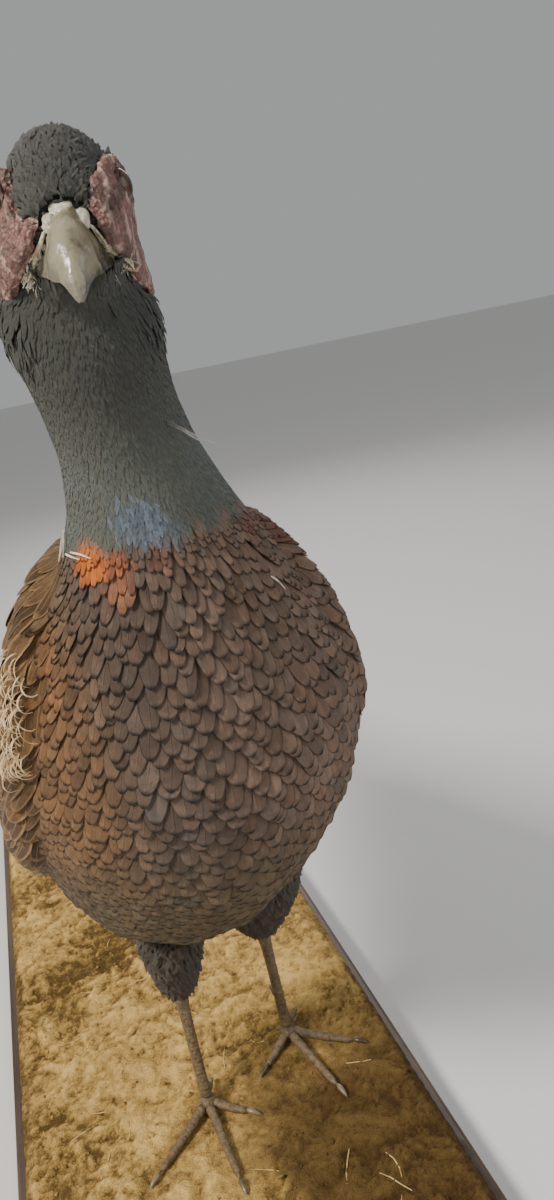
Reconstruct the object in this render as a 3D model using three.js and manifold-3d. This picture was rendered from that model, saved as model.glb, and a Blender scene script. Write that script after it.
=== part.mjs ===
// A mounted cock pheasant standing on an earth-covered board, in millimetres, +Z up.
// The bird faces -Y and its left side is +X. The origin is the middle of the board's underside.
// Inside the bird every place is given as ahead, left and height from the middle of its feet.
import * as THREE from 'three';
import { mergeVertices } from 'three/addons/utils/BufferGeometryUtils.js';
import Module from 'manifold-3d';

const wasm = await Module();
wasm.setup();

// ---- driving dimensions ----

const GAP = 0.3; // what is left free between two pieces that meet
const BOARD = { width: 240, length: 660, thickness: 18, bevel: 2.5 };
const EARTH = { depth: 8, margin: 3, hump: 7, flatRadius: 95, across: 7, along: 18 };
const FEET_MIDDLE = { x: 24, y: -180 };
const GROUND = BOARD.thickness + EARTH.depth;

// Cross-sections of the body from the tail root to the top of the neck. tilt is how far, in degrees,
// each section leans back from upright, so that the sections fan out round the bend of the breast.
const BODY = [
  { ahead: -128, left: 3, height: 241, tilt: 10, wide: 24, above: 15, below: 19 },
  { ahead: -86, left: -2, height: 234, tilt: 13, wide: 45, above: 43, below: 49 },
  { ahead: -33, left: -8, height: 229, tilt: 10, wide: 61, above: 75, below: 80 },
  { ahead: 18, left: -8, height: 235, tilt: 11, wide: 67, above: 89, below: 92 },
  { ahead: 62, left: -3, height: 245, tilt: 19, wide: 70, above: 90, below: 82 },
  { ahead: 93, left: 4, height: 267, tilt: 31, wide: 70, above: 82, below: 70 },
  { ahead: 107, left: 6, height: 300, tilt: 43, wide: 60, above: 64, below: 61 },
  { ahead: 114, left: 6, height: 330, tilt: 54, wide: 46, above: 46, below: 45 },
  { ahead: 121, left: 6, height: 357, tilt: 64, wide: 32, above: 31, below: 30 },
  { ahead: 130, left: 2, height: 381, tilt: 64, wide: 22.5, above: 22, below: 20 },
  { ahead: 140, left: -3, height: 404, tilt: 60, wide: 20.5, above: 20, below: 18 },
  { ahead: 148, left: -6, height: 425, tilt: 60, wide: 22, above: 20, below: 18 },
  { ahead: 153, left: -6, height: 448, tilt: 60, wide: 19, above: 17, below: 15 },
];
const BODY_ROLL = 14; // degrees that the back leans to the bird's left
const BODY_KEEL = 0.12; // the share by which the sections narrow towards the keel
const BODY_LOFT = { sides: 16, rings: 22, round: 0.08, roll: BODY_ROLL, keel: BODY_KEEL };
const NECK_BASE = { ahead: 115, height: 358, lean: 3 }; // where neck and trunk are parted
const NECK_CUTTER = 400; // the side of the block that parts them

// The head has its own frame: its middle, and how far it is turned and tipped, in degrees.
const HEAD_PLACE = { ahead: 159, left: -4, height: 448, turn: -10, pitch: 27, roll: 2 };
const HEAD = [
  { ahead: -27, height: -4, wide: 10, above: 14, below: 10 },
  { ahead: -18, height: -4, wide: 15, above: 22, below: 14 },
  { ahead: -7, height: -4, wide: 16.5, above: 25, below: 16 },
  { ahead: 4, height: -4, wide: 15.5, above: 23, below: 14.5 },
  { ahead: 13, height: -3, wide: 12, above: 16.5, below: 11 },
  { ahead: 20, height: -1, wide: 8, above: 10, below: 8.5 },
];
const UPPER_BEAK = [
  { ahead: 11, height: 2, wide: 8.2, above: 6.6, below: 7.4 },
  { ahead: 20, height: 2, wide: 7, above: 6.2, below: 6.6 },
  { ahead: 27.5, height: 1.6, wide: 6.2, above: 4.6, below: 4.6 },
  { ahead: 33, height: 0.4, wide: 3.4, above: 2.8, below: 2.7 },
  { ahead: 38.3, height: -3.4, wide: 1.4, above: 1.4, below: 1.3 },
];
const LOWER_BEAK = [
  { ahead: 11, height: -5.6, wide: 6.2, above: 3, below: 3.8 },
  { ahead: 20, height: -4.8, wide: 5.2, above: 2.6, below: 3.4 },
  { ahead: 27.5, height: -4.2, wide: 3.6, above: 2, below: 2.3 },
  { ahead: 32.5, height: -3.8, wide: 1.8, above: 1.2, below: 1.4 },
];
const EYE = { radius: 5, ahead: -1, out: 13.2, height: 6.5 };
const WATTLE = { ahead: 0, out: 20, height: -2.5, long: 17, high: 17, reach: 30, thick: 3, lidRadius: 5.4 };
const EAR_TUFT = { ahead: -14, out: 11, height: 10, long: 13, thick: 3, rise: 8, spread: 16 };

// The folded wings: how proud of the body they lie, and their side outline as [ahead, height].
const WING_THICK = 7.5;
const WING_TOP = [[108, 302], [109, 330], [96, 354], [62, 356], [5, 333], [-40, 309], [-90, 285],
  [-138, 258]];
const WING_BOTTOM = [[-162, 241], [-120, 222], [-60, 203], [0, 196], [45, 205], [80, 232], [97, 262]];
const PRIMARIES = [
  { ahead: -50, out: 50, height: 205, wide: 2, above: 9 },
  { ahead: -105, out: 51, height: 214, wide: 2.2, above: 10 },
  { ahead: -145, out: 46, height: 223, wide: 1.8, above: 8 },
  { ahead: -176, out: 41, height: 229, wide: 1, above: 3 },
];
const WING_INNER_EDGE = 18; // how near to the bird's middle plane the wings come

const TAIL = { ahead: -126, height: 247, droop: 11, layer: 1.25, thick: 0.9, left: 3 };
const TAIL_LENGTHS = [478, 402, 330, 264, 206, 160];
const TAIL_FEATHER = { halfWidth: 13, middle: 4, step: 4.2, gather: 0.7, fan: 0.7, rings: 10, sides: 6 };
const TAIL_DEPTH = TAIL.layer * (2 * TAIL_LENGTHS.length - 1); // from the top feather to the lowest
const COVERTS = { long: 150, wide: 33, deep: 13 };

// Each leg: its knee, hock and foot joint, and the heading and length of every toe.
const LEGS = {
  right: {
    side: -1,
    bulk: { wide: 16, deep: 24 },
    knee: { ahead: 46, left: -24, height: 166 },
    hock: { ahead: 1, left: -27, height: 78 },
    foot: { ahead: 12, left: -29, height: 8 },
    toes: { inner: [52, 34], middle: [4, 64], outer: [-50, 56], hind: [160, 19] },
  },
  left: {
    side: 1,
    bulk: { wide: 27, deep: 26 },
    knee: { ahead: 26, left: 26, height: 168 },
    hock: { ahead: -21, left: 31, height: 80 },
    foot: { ahead: -15, left: 31, height: 8 },
    toes: { inner: [-50, 35], middle: [14, 62], outer: [54, 52], hind: [146, 22] },
  },
};
const THIGH_END = 7; // the radius of its feathers at the hock
const SHANK = { radius: 3.2, hock: 5, foot: 4.6 };
const SPUR = { height: 30, long: 11, radius: 2.6 };
const TOE = { root: 3.3, tip: 2.1, claw: 9, clawRadius: 1.7, hindLift: 6 };

// ---- finishes ----

const finish = (color, roughness) => new THREE.MeshStandardMaterial({ color, roughness, metalness: 0 });
const FINISH = {
  board: finish(0x4c4238, 0.55),
  earth: finish(0xa88650, 0.95),
  breast: finish(0x6e4a36, 0.75),
  neck: finish(0x2c3a3a, 0.6),
  head: finish(0x35403c, 0.8),
  horn: finish(0xcfc6ae, 0.4),
  eye: finish(0x2a1a10, 0.08),
  wattle: finish(0x8a4a42, 0.7),
  wing: finish(0x8f7355, 0.8),
  quill: finish(0x6f6048, 0.7),
  tail: finish(0x8d7750, 0.7),
  thigh: finish(0x40362a, 0.85),
  scale: finish(0x6b5a40, 0.6),
  claw: finish(0x8d8064, 0.5),
};

// ---- solids ----

const radians = THREE.MathUtils.degToRad;
const place = (ahead, left, height) => new THREE.Vector3(left, -ahead, height);
const placeOf = (point) => place(point.ahead, point.left ?? 0, point.height);

/** Joins a closed grid of rings and its two end points into one solid's geometry. */
function ringsToGeometry(rings, firstPole, lastPole) {
  const sides = rings[0].length;
  const points = [firstPole, ...rings.flat(), lastPole];
  const at = (ring, side) => 1 + ring * sides + (side % sides);
  const faces = [];
  for (let side = 0; side < sides; side += 1) {
    faces.push(0, at(0, side + 1), at(0, side));
    for (let ring = 0; ring < rings.length - 1; ring += 1) {
      faces.push(at(ring, side), at(ring, side + 1), at(ring + 1, side));
      faces.push(at(ring, side + 1), at(ring + 1, side + 1), at(ring + 1, side));
    }
    faces.push(points.length - 1, at(rings.length - 1, side), at(rings.length - 1, side + 1));
  }
  const geometry = new THREE.BufferGeometry().setFromPoints(points);
  geometry.setIndex(faces);
  return geometry;
}

/**
 * Sweeps an oval of changing width and height along a smooth line through the stations.
 * Each section stands square to the line, or leans back by its station's tilt. grow swells the
 * shape, round is the share of its length over which each end closes, roll leans its top to the
 * left by some degrees, and keel is the share by which it narrows downwards.
 */
function loft(stations, { sides = 10, rings = 10, grow = 0, round = 0.1, roll = 0, keel = 0 } = {}) {
  const line = new THREE.CatmullRomCurve3(stations.map(placeOf));
  const girth = new THREE.CatmullRomCurve3(
    stations.map((s) => new THREE.Vector3(s.wide, s.above ?? s.wide, s.below ?? s.above ?? s.wide)),
  );
  const tilts = new THREE.CatmullRomCurve3(stations.map((s, i) => new THREE.Vector3(s.tilt ?? 0, i, 0)));
  const level = new THREE.Vector3(Math.cos(radians(roll)), 0, -Math.sin(radians(roll)));
  const facing = (t) => {
    const tilt = radians(tilts.getPoint(t).x);
    return 'tilt' in stations[0] ? place(Math.cos(tilt), 0, Math.sin(tilt)) : line.getTangent(t);
  };
  const sectionAt = (t) => {
    const up = new THREE.Vector3().crossVectors(facing(t), level).normalize();
    const left = new THREE.Vector3().crossVectors(up, facing(t)).normalize();
    const fromEnd = Math.min(t, 1 - t) / round;
    const closing = fromEnd < 1 ? Math.sqrt(1 - (1 - fromEnd) ** 2) : 1;
    const size = girth.getPoint(t).multiplyScalar(closing).addScalar(grow);
    return Array.from({ length: sides }, (_, side) => {
      const angle = (2 * Math.PI * side) / sides;
      const tall = Math.sin(angle) > 0 ? size.y : size.z;
      const broad = size.x * (1 + keel * Math.min(0, Math.sin(angle)));
      return line.getPoint(t)
        .addScaledVector(left, broad * Math.cos(angle))
        .addScaledVector(up, tall * Math.sin(angle));
    });
  };
  const middleRings = Array.from({ length: rings - 1 }, (_, i) => {
    return sectionAt((1 - Math.cos((Math.PI * (i + 1)) / rings)) / 2);
  });
  const pole = (t, way) => line.getPoint(t).addScaledVector(line.getTangent(t), way * grow);
  return ringsToGeometry(middleRings, pole(0, -1), pole(1, 1));
}

/** Turns a geometry into a solid that can be cut and joined. */
function solid(geometry, matrix = new THREE.Matrix4()) {
  const bare = geometry.clone().applyMatrix4(matrix);
  bare.deleteAttribute('normal');
  bare.deleteAttribute('uv');
  const merged = mergeVertices(bare, 1e-4);
  return new wasm.Manifold(new wasm.Mesh({
    numProp: 3,
    vertProperties: new Float32Array(merged.attributes.position.array),
    triVerts: new Uint32Array(merged.index.array),
  }));
}

/** Turns a solid back into a geometry. */
function geometryOf(body) {
  const mesh = body.getMesh();
  const geometry = new THREE.BufferGeometry();
  geometry.setAttribute('position', new THREE.BufferAttribute(new Float32Array(mesh.vertProperties), 3));
  geometry.setIndex(new THREE.BufferAttribute(new Uint32Array(mesh.triVerts), 1));
  return geometry;
}

/** Makes a named mesh and hangs it in a group. */
function add(group, name, geometry, material) {
  const mesh = new THREE.Mesh(geometry, material);
  mesh.name = name;
  group.add(mesh);
}

/** A block given by its size and its middle, turned about X by tilt degrees. */
function block(size, middle, tilt = 0) {
  const turned = new THREE.Matrix4().makeRotationX(radians(tilt)).setPosition(middle);
  return solid(new THREE.BoxGeometry(...size), turned);
}

/** Cuts a side-view outline of [ahead, height] points right through along the bird's left. */
function sideCutter(outline, from, to) {
  const shape = new THREE.Shape();
  const points = outline.map(([ahead, height]) => new THREE.Vector2(-ahead, height));
  shape.moveTo(points[0].x, points[0].y);
  shape.splineThru([...points.slice(1), points[0]]);
  const geometry = new THREE.ExtrudeGeometry(shape, {
    depth: to - from, bevelEnabled: false, curveSegments: 2,
  });
  const axes = new THREE.Matrix4().makeBasis(
    new THREE.Vector3(0, 1, 0), new THREE.Vector3(0, 0, 1), new THREE.Vector3(1, 0, 0),
  );
  return solid(geometry, axes.setPosition(from, 0, 0));
}

// ---- the stand ----

/** A board with softened top edges. */
function boardGeometry() {
  const { width, length, thickness, bevel } = BOARD;
  const outline = new THREE.Shape([
    new THREE.Vector2(-width / 2 + bevel, -length / 2 + bevel),
    new THREE.Vector2(width / 2 - bevel, -length / 2 + bevel),
    new THREE.Vector2(width / 2 - bevel, length / 2 - bevel),
    new THREE.Vector2(-width / 2 + bevel, length / 2 - bevel),
  ]);
  const slab = new THREE.ExtrudeGeometry(outline, {
    depth: thickness - 2 * bevel, bevelThickness: bevel, bevelSize: bevel, bevelSegments: 2,
  });
  return slab.translate(0, 0, bevel);
}

/** How high the earth rises above its level at a place on the board. */
function earthRise(x, y) {
  const fromFeet = Math.hypot(x - FEET_MIDDLE.x, y - FEET_MIDDLE.y);
  const wave = 0.5 + 0.3 * Math.sin(x / 31 + y / 47) + 0.2 * Math.cos(y / 23 - x / 19);
  return EARTH.hump * wave * THREE.MathUtils.smoothstep(fromFeet, EARTH.flatRadius, 2 * EARTH.flatRadius);
}

/** The earth: a slab whose top is level under the feet and rolls gently elsewhere. */
function earthGeometry() {
  const { across, along, margin, depth } = EARTH;
  const width = BOARD.width - 2 * (BOARD.bevel + margin);
  const length = BOARD.length - 2 * (BOARD.bevel + margin);
  const bottom = BOARD.thickness + GAP;
  const geometry = new THREE.BoxGeometry(width, length, depth - GAP, across, along, 1);
  geometry.translate(0, 0, bottom + (depth - GAP) / 2);
  const position = geometry.attributes.position;
  for (let i = 0; i < position.count; i += 1) {
    if (position.getZ(i) > bottom + GAP) {
      position.setZ(i, GROUND + earthRise(position.getX(i), position.getY(i)));
    }
  }
  return geometry;
}

const model = new THREE.Group();
add(model, 'base_board', boardGeometry(), FINISH.board);
add(model, 'groundwork', earthGeometry(), FINISH.earth);

const bird = new THREE.Group();
bird.position.set(FEET_MIDDLE.x, FEET_MIDDLE.y, GROUND);
model.add(bird);

// ---- head ----

const headGroup = new THREE.Group();
headGroup.position.copy(placeOf(HEAD_PLACE));
headGroup.rotation.set(radians(HEAD_PLACE.pitch), radians(HEAD_PLACE.roll), radians(HEAD_PLACE.turn), 'ZXY');
headGroup.updateMatrix();
bird.add(headGroup);

const headShape = (grow) => loft(HEAD, { sides: 14, rings: 11, round: 0.16, grow });
const upperBeakShape = (grow) => loft(UPPER_BEAK, { sides: 12, rings: 9, round: 0.06, grow });
const lowerBeakShape = (grow) => loft(LOWER_BEAK, { sides: 8, rings: 6, round: 0.08, grow });
const eyeMatrix = (side) => new THREE.Matrix4().setPosition(place(EYE.ahead, side * EYE.out, EYE.height));
const eyeShape = (grow) => new THREE.SphereGeometry(EYE.radius + grow, 10, 7);

/** The red skin round one eye: a plate that follows the cheek. */
function wattleSolid(side, grow) {
  const rim = new THREE.CylinderGeometry(1, 1, WATTLE.reach, 14);
  const lay = new THREE.Matrix4().makeRotationZ(Math.PI / 2);
  const stretch = new THREE.Matrix4().makeScale(1, WATTLE.long + grow, WATTLE.high + grow);
  const put = new THREE.Matrix4().setPosition(place(WATTLE.ahead, side * WATTLE.out, WATTLE.height));
  const patch = solid(rim, put.multiply(stretch).multiply(lay));
  return solid(headShape(WATTLE.thick + grow)).intersect(patch);
}

/** A small horn of feathers behind the crown. */
function earTuftGeometry(side) {
  const { ahead, out, height, long, thick, rise, spread } = EAR_TUFT;
  const back = long * Math.cos(radians(rise));
  const step = (t, radius) => ({
    ahead: ahead - back * t,
    left: side * (out + long * Math.sin(radians(spread)) * t),
    height: height + long * Math.sin(radians(rise)) * (t + t * t) / 2,
    wide: radius,
  });
  return loft([step(0, thick), step(0.5, thick * 0.8), step(1, thick * 0.25)], { sides: 6, rings: 6 });
}

const beakHole = solid(upperBeakShape(GAP)).add(solid(lowerBeakShape(GAP)));
let headSolid = solid(headShape(0)).subtract(beakHole);
for (const [name, side] of [['right', -1], ['left', 1]]) {
  headSolid = headSolid.subtract(solid(eyeShape(GAP), eyeMatrix(side)));
  const lid = solid(new THREE.SphereGeometry(WATTLE.lidRadius + GAP, 10, 7), eyeMatrix(side));
  const wattle = wattleSolid(side, 0).subtract(solid(headShape(GAP))).subtract(lid).subtract(beakHole);
  const tuft = solid(earTuftGeometry(side)).subtract(solid(headShape(GAP)));
  add(headGroup, `eye_${name}`, eyeShape(0).applyMatrix4(eyeMatrix(side)), FINISH.eye);
  add(headGroup, `wattle_${name}`, geometryOf(wattle), FINISH.wattle);
  add(headGroup, `ear_tuft_${name}`, geometryOf(tuft), FINISH.head);
}
const lowerBeak = solid(lowerBeakShape(0)).subtract(solid(upperBeakShape(GAP)));
add(headGroup, 'head', geometryOf(headSolid), FINISH.head);
add(headGroup, 'beak_upper', upperBeakShape(0), FINISH.horn);
add(headGroup, 'beak_lower', geometryOf(lowerBeak), FINISH.horn);

// ---- neck and trunk ----

/** Everything of the head, swollen by the gap, in the bird's frame. */
function headRoom() {
  let room = solid(headShape(GAP), headGroup.matrix);
  for (const side of [-1, 1]) {
    room = room.add(wattleSolid(side, GAP).transform(headGroup.matrix.elements));
  }
  return room.add(solid(lowerBeakShape(GAP), headGroup.matrix));
}

/** A block that starts at the foot of the neck, moved on by shift, and fills all above it. */
function aboveNeckBase(shift) {
  const middle = placeOf(NECK_BASE);
  const lean = radians(NECK_BASE.lean);
  const along = place(Math.sin(lean), 0, Math.cos(lean));
  return block([NECK_CUTTER, NECK_CUTTER, NECK_CUTTER],
    middle.addScaledVector(along, NECK_CUTTER / 2 + shift), NECK_BASE.lean);
}

/** A point beside the tail's axis: along it, to the left of it and above it. */
function tailPoint(along, left, above) {
  const droop = radians(TAIL.droop);
  return {
    ahead: TAIL.ahead - along * Math.cos(droop) - above * Math.sin(droop),
    left: TAIL.left + left,
    height: TAIL.height - along * Math.sin(droop) + above * Math.cos(droop),
  };
}

/** The room that the tail feathers take, from their roots backwards. */
function tailRoom(grow) {
  const half = TAIL_FEATHER.middle + TAIL_FEATHER.step * (TAIL_LENGTHS.length - 1) + TAIL_FEATHER.halfWidth;
  const deep = TAIL_DEPTH + TAIL.thick + 2 * grow;
  const long = TAIL_LENGTHS[0];
  const middle = placeOf(tailPoint(long / 2, 0, -TAIL_DEPTH / 2));
  return block([2 * (half + grow), long + 2 * grow, deep], middle, -TAIL.droop);
}

const bodyShape = (grow) => solid(loft(BODY, { ...BODY_LOFT, grow }));
const neck = bodyShape(0).intersect(aboveNeckBase(GAP)).subtract(headRoom());
const trunk = bodyShape(0).subtract(aboveNeckBase(0)).subtract(tailRoom(GAP));
add(bird, 'trunk', geometryOf(trunk), FINISH.breast);
add(bird, 'neck', geometryOf(neck), FINISH.neck);

// ---- wings ----

/** The body as the folded wings see it: it stays broad further back, over the tail root. */
const WING_CARRIER = [
  { ahead: -205, left: 3, height: 226, tilt: 10, wide: 18, above: 12, below: 12 },
  { ahead: -150, left: 3, height: 231, tilt: 12, wide: 36, above: 30, below: 26 },
  { ahead: -88, left: -1, height: 232, tilt: 13, wide: 52, above: 48, below: 50 },
  ...BODY.slice(2, 9),
];
const CARRIER_LOFT = { ...BODY_LOFT, rings: 13 };
const carrierShape = (grow) => solid(loft(WING_CARRIER, { ...CARRIER_LOFT, grow }));

/** A shell over the body's side, bounded by a side-view outline. */
function shell(outline, side, thick, grow) {
  const middle = TAIL.left;
  const near = middle + side * (WING_INNER_EDGE - grow);
  const far = middle + side * (BOARD.width / 2);
  const cutter = sideCutter(outline, Math.min(near, far), Math.max(near, far));
  return carrierShape(thick + grow).intersect(cutter);
}

const wingOutline = [...WING_TOP, ...WING_BOTTOM];

/** What a wing takes up, swollen by the gap, without the hollow on its inner side. */
const wingRoom = (side) => shell(wingOutline, side, WING_THICK, GAP);

/** The stiff tip feathers that show below and behind a folded wing. */
function primariesSolid(side, grow) {
  const stations = PRIMARIES.map((s) => ({ ...s, left: TAIL.left + side * s.out }));
  return solid(loft(stations, { sides: 8, rings: 9, round: 0.05, grow }));
}

for (const [name, side] of [['right', -1], ['left', 1]]) {
  const inside = bodyShape(GAP).add(tailRoom(GAP));
  const wing = shell(wingOutline, side, WING_THICK, 0).subtract(carrierShape(GAP)).subtract(inside);
  const primaries = primariesSolid(side, 0).subtract(inside).subtract(wingRoom(side));
  add(bird, `wing_${name}`, geometryOf(wing), FINISH.wing);
  add(bird, `primaries_${name}`, geometryOf(primaries), FINISH.quill);
}

// ---- tail ----

/**
 * One long feather of the tail. Rank 0 is the middle pair, the left feather lies on the right one,
 * and each higher rank lies below and outside the one before it.
 */
function tailFeatherGeometry(side, rank) {
  const long = TAIL_LENGTHS[rank];
  const layer = 2 * rank + (side > 0 ? 0 : 1);
  const fan = Math.tan(radians(TAIL_FEATHER.fan * rank));
  const root = TAIL_FEATHER.middle + TAIL_FEATHER.step * rank;
  const out = (share) => root * (1 - TAIL_FEATHER.gather * share) + long * share * fan;
  const step = (share, widthShare) => ({
    ...tailPoint(long * share, side * out(share), -TAIL.layer * layer),
    wide: TAIL_FEATHER.halfWidth * widthShare,
    above: TAIL.thick / 2,
  });
  const stations = [step(0, 0.7), step(0.2, 1), step(0.5, 0.86), step(0.8, 0.5), step(1, 0.14)];
  return loft(stations, { sides: TAIL_FEATHER.sides, rings: TAIL_FEATHER.rings, round: 0.03 });
}

/** The short feathers over (way 1) or under (way -1) the tail's root. */
function covertSolid(way) {
  const { long, wide, deep } = COVERTS;
  const step = (share, widthShare, deepShare) => ({
    ...tailPoint(long * share - 40, 0, way > 0 ? 0 : -TAIL_DEPTH),
    wide: wide * widthShare,
    above: way > 0 ? 1 : deep * deepShare,
    below: way > 0 ? deep * deepShare : 1,
  });
  const stations = [step(0, 0.8, 1.2), step(0.3, 1, 1), step(0.7, 0.75, 0.55), step(1, 0.3, 0.2)];
  return solid(loft(stations, { sides: 10, rings: 9, round: 0.1 }));
}

TAIL_LENGTHS.forEach((_, rank) => {
  for (const [name, side] of [['right', -1], ['left', 1]]) {
    add(bird, `tail_feather_${rank + 1}_${name}`, tailFeatherGeometry(side, rank), FINISH.tail);
  }
});
const wingsRoom = [-1, 1].map((side) => wingRoom(side).add(primariesSolid(side, GAP)));
for (const [name, way] of [['upper', 1], ['under', -1]]) {
  const coverts = covertSolid(way).subtract(bodyShape(GAP)).subtract(tailRoom(GAP))
    .subtract(wingsRoom[0]).subtract(wingsRoom[1]);
  add(bird, `tail_coverts_${name}`, geometryOf(coverts), FINISH.tail);
}

// ---- legs ----

/** A point a share of the way from one place to another. */
function between(from, to, share) {
  const mix = (key) => THREE.MathUtils.lerp(from[key], to[key], share);
  return { ahead: mix('ahead'), left: mix('left'), height: mix('height') };
}

/** The feathered part of a leg, from inside the belly to the hock. */
function thighShape(leg) {
  const step = (share, bulk) => ({
    ...between(leg.knee, leg.hock, share),
    wide: THREE.MathUtils.lerp(THIGH_END, leg.bulk.wide, bulk),
    above: THREE.MathUtils.lerp(THIGH_END, leg.bulk.deep, bulk),
  });
  const stations = [step(-0.1, 1), step(0.25, 0.95), step(0.5, 0.72), step(0.75, 0.34), step(0.97, 0)];
  return loft(stations, { sides: 12, rings: 10, round: 0.06 });
}

/** The bare shank from the hock to the foot joint. */
function shankShape(leg, grow) {
  const step = (share, radius) => ({ ...between(leg.hock, leg.foot, share), wide: radius });
  const stations = [
    step(-0.04, SHANK.hock), step(0.06, SHANK.hock * 0.9), step(0.2, SHANK.radius * 1.05),
    step(0.55, SHANK.radius), step(0.86, SHANK.radius * 1.05), step(1, SHANK.foot),
  ];
  return loft(stations, { sides: 8, rings: 10, round: 0.06, grow });
}

/** A place on the way of a toe: out from the foot joint and up from the ground. */
function toePoint(leg, heading, along, height) {
  return {
    ahead: leg.foot.ahead + along * Math.cos(radians(heading)),
    left: leg.foot.left + along * Math.sin(radians(heading)),
    height,
  };
}

/** A toe and its claw: two lofts, the claw starting where the toe ends. */
function toeShapes(leg, name, [heading, reach]) {
  const lift = name === 'hind' ? TOE.hindLift : 0;
  const clawLong = name === 'hind' ? TOE.claw * 0.6 : TOE.claw;
  const toeEnd = reach - clawLong;
  const rest = (radius) => radius + GAP;
  const toe = [
    { ...toePoint(leg, heading, 1, leg.foot.height - 2 + lift), wide: TOE.root },
    { ...toePoint(leg, heading, toeEnd * 0.3, rest(TOE.root) + lift * 0.8 + 1), wide: TOE.root },
    { ...toePoint(leg, heading, toeEnd * 0.65, rest(TOE.root * 0.85) + lift * 0.6), wide: TOE.root * 0.85 },
    { ...toePoint(leg, heading, toeEnd, rest(TOE.tip) + lift * 0.4), wide: TOE.tip },
  ];
  const claw = [
    { ...toePoint(leg, heading, toeEnd - 1.5, rest(TOE.tip) + lift * 0.4 + 0.4), wide: TOE.clawRadius },
    { ...toePoint(leg, heading, toeEnd + clawLong * 0.5, rest(TOE.clawRadius * 0.7) + lift * 0.3 + 0.7),
      wide: TOE.clawRadius * 0.75 },
    { ...toePoint(leg, heading, reach, GAP + 0.5 + lift * 0.2), wide: 0.45 },
  ];
  return {
    toe: (grow) => loft(toe, { sides: 6, rings: 6, round: 0.08, grow }),
    claw: (grow) => loft(claw, { sides: 5, rings: 4, round: 0.1, grow }),
  };
}

/** The horny spur behind the shank, pointing back and slightly up. */
function spurShape(leg) {
  const share = 1 - (SPUR.height - leg.foot.height) / (leg.hock.height - leg.foot.height);
  const root = between(leg.hock, leg.foot, share);
  const step = (t, radius) => ({
    ahead: root.ahead - 1 - SPUR.long * t,
    left: root.left - leg.side * 3 * t,
    height: root.height + 2.5 * t * t,
    wide: radius,
  });
  return loft([step(0, SPUR.radius), step(0.5, SPUR.radius * 0.7), step(1, 0.5)], { sides: 6, rings: 5 });
}

for (const [name, leg] of Object.entries(LEGS)) {
  const shankRoom = solid(shankShape(leg, GAP));
  const thigh = solid(thighShape(leg)).subtract(bodyShape(GAP)).subtract(shankRoom);
  const spur = solid(spurShape(leg)).subtract(shankRoom);
  add(bird, `thigh_${name}`, geometryOf(thigh), FINISH.thigh);
  add(bird, `shank_${name}`, shankShape(leg, 0), FINISH.scale);
  add(bird, `spur_${name}`, geometryOf(spur), FINISH.claw);
  let taken = shankRoom;
  for (const [toeName, way] of Object.entries(leg.toes)) {
    const { toe, claw } = toeShapes(leg, toeName, way);
    add(bird, `toe_${toeName}_${name}`, geometryOf(solid(toe(0)).subtract(taken)), FINISH.scale);
    add(bird, `claw_${toeName}_${name}`, geometryOf(solid(claw(0)).subtract(solid(toe(GAP)))), FINISH.claw);
    taken = taken.add(solid(toe(GAP)));
  }
}

export default model;
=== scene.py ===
"""A mounted cock pheasant: its skin, feathers, head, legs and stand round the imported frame."""

import sys
import logging
import math
from collections.abc import Callable, Iterator
from dataclasses import dataclass, field
from enum import Enum

import bmesh
import bpy
import numpy as np
from bmesh.types import BMesh
from bpy.types import Material, Mesh, Object
from mathutils import Euler, Matrix, Vector, noise
from mathutils.bvhtree import BVHTree
from mathutils.kdtree import KDTree


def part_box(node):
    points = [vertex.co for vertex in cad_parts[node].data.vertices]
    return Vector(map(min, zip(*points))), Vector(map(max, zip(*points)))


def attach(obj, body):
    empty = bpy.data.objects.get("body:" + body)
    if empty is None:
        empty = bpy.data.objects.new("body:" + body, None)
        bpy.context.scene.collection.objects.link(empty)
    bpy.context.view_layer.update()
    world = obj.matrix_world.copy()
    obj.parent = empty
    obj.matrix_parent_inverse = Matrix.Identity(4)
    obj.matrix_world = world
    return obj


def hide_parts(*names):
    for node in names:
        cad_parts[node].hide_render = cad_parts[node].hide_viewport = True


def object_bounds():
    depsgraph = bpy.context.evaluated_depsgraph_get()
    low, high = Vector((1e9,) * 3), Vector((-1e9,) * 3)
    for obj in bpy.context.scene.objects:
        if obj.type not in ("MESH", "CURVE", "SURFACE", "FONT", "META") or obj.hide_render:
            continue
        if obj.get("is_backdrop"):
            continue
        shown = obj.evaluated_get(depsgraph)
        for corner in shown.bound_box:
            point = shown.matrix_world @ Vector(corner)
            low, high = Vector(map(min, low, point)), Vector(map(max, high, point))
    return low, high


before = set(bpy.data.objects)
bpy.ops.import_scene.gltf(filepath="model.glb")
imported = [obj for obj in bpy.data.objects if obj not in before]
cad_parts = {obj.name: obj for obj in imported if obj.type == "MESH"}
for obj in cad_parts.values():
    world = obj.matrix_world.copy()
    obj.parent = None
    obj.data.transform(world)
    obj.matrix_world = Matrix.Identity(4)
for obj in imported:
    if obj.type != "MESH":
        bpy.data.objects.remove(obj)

LOG = logging.getLogger("pheasant")
MM = 0.001
BAKE_PATCH = 0.003
NECK_LINE = 357
NECK_SPLIT = 396
MISSED_DEPTH = 2 * MM
SMALLEST_STEP = 0.15 * MM
SIDES = {"right": -1, "left": 1}
TOES = ("inner", "middle", "outer", "hind")
FEET_MIDDLE = Vector((24, -180, 26)) * MM
Array = np.ndarray
Colour = tuple[float, float, float]


def bird_point(ahead: float, left: float, height: float) -> Vector:
    """A place given in millimetres ahead, left and up from the middle of the feet."""
    return FEET_MIDDLE + Vector((left, -ahead, height)) * MM


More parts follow.
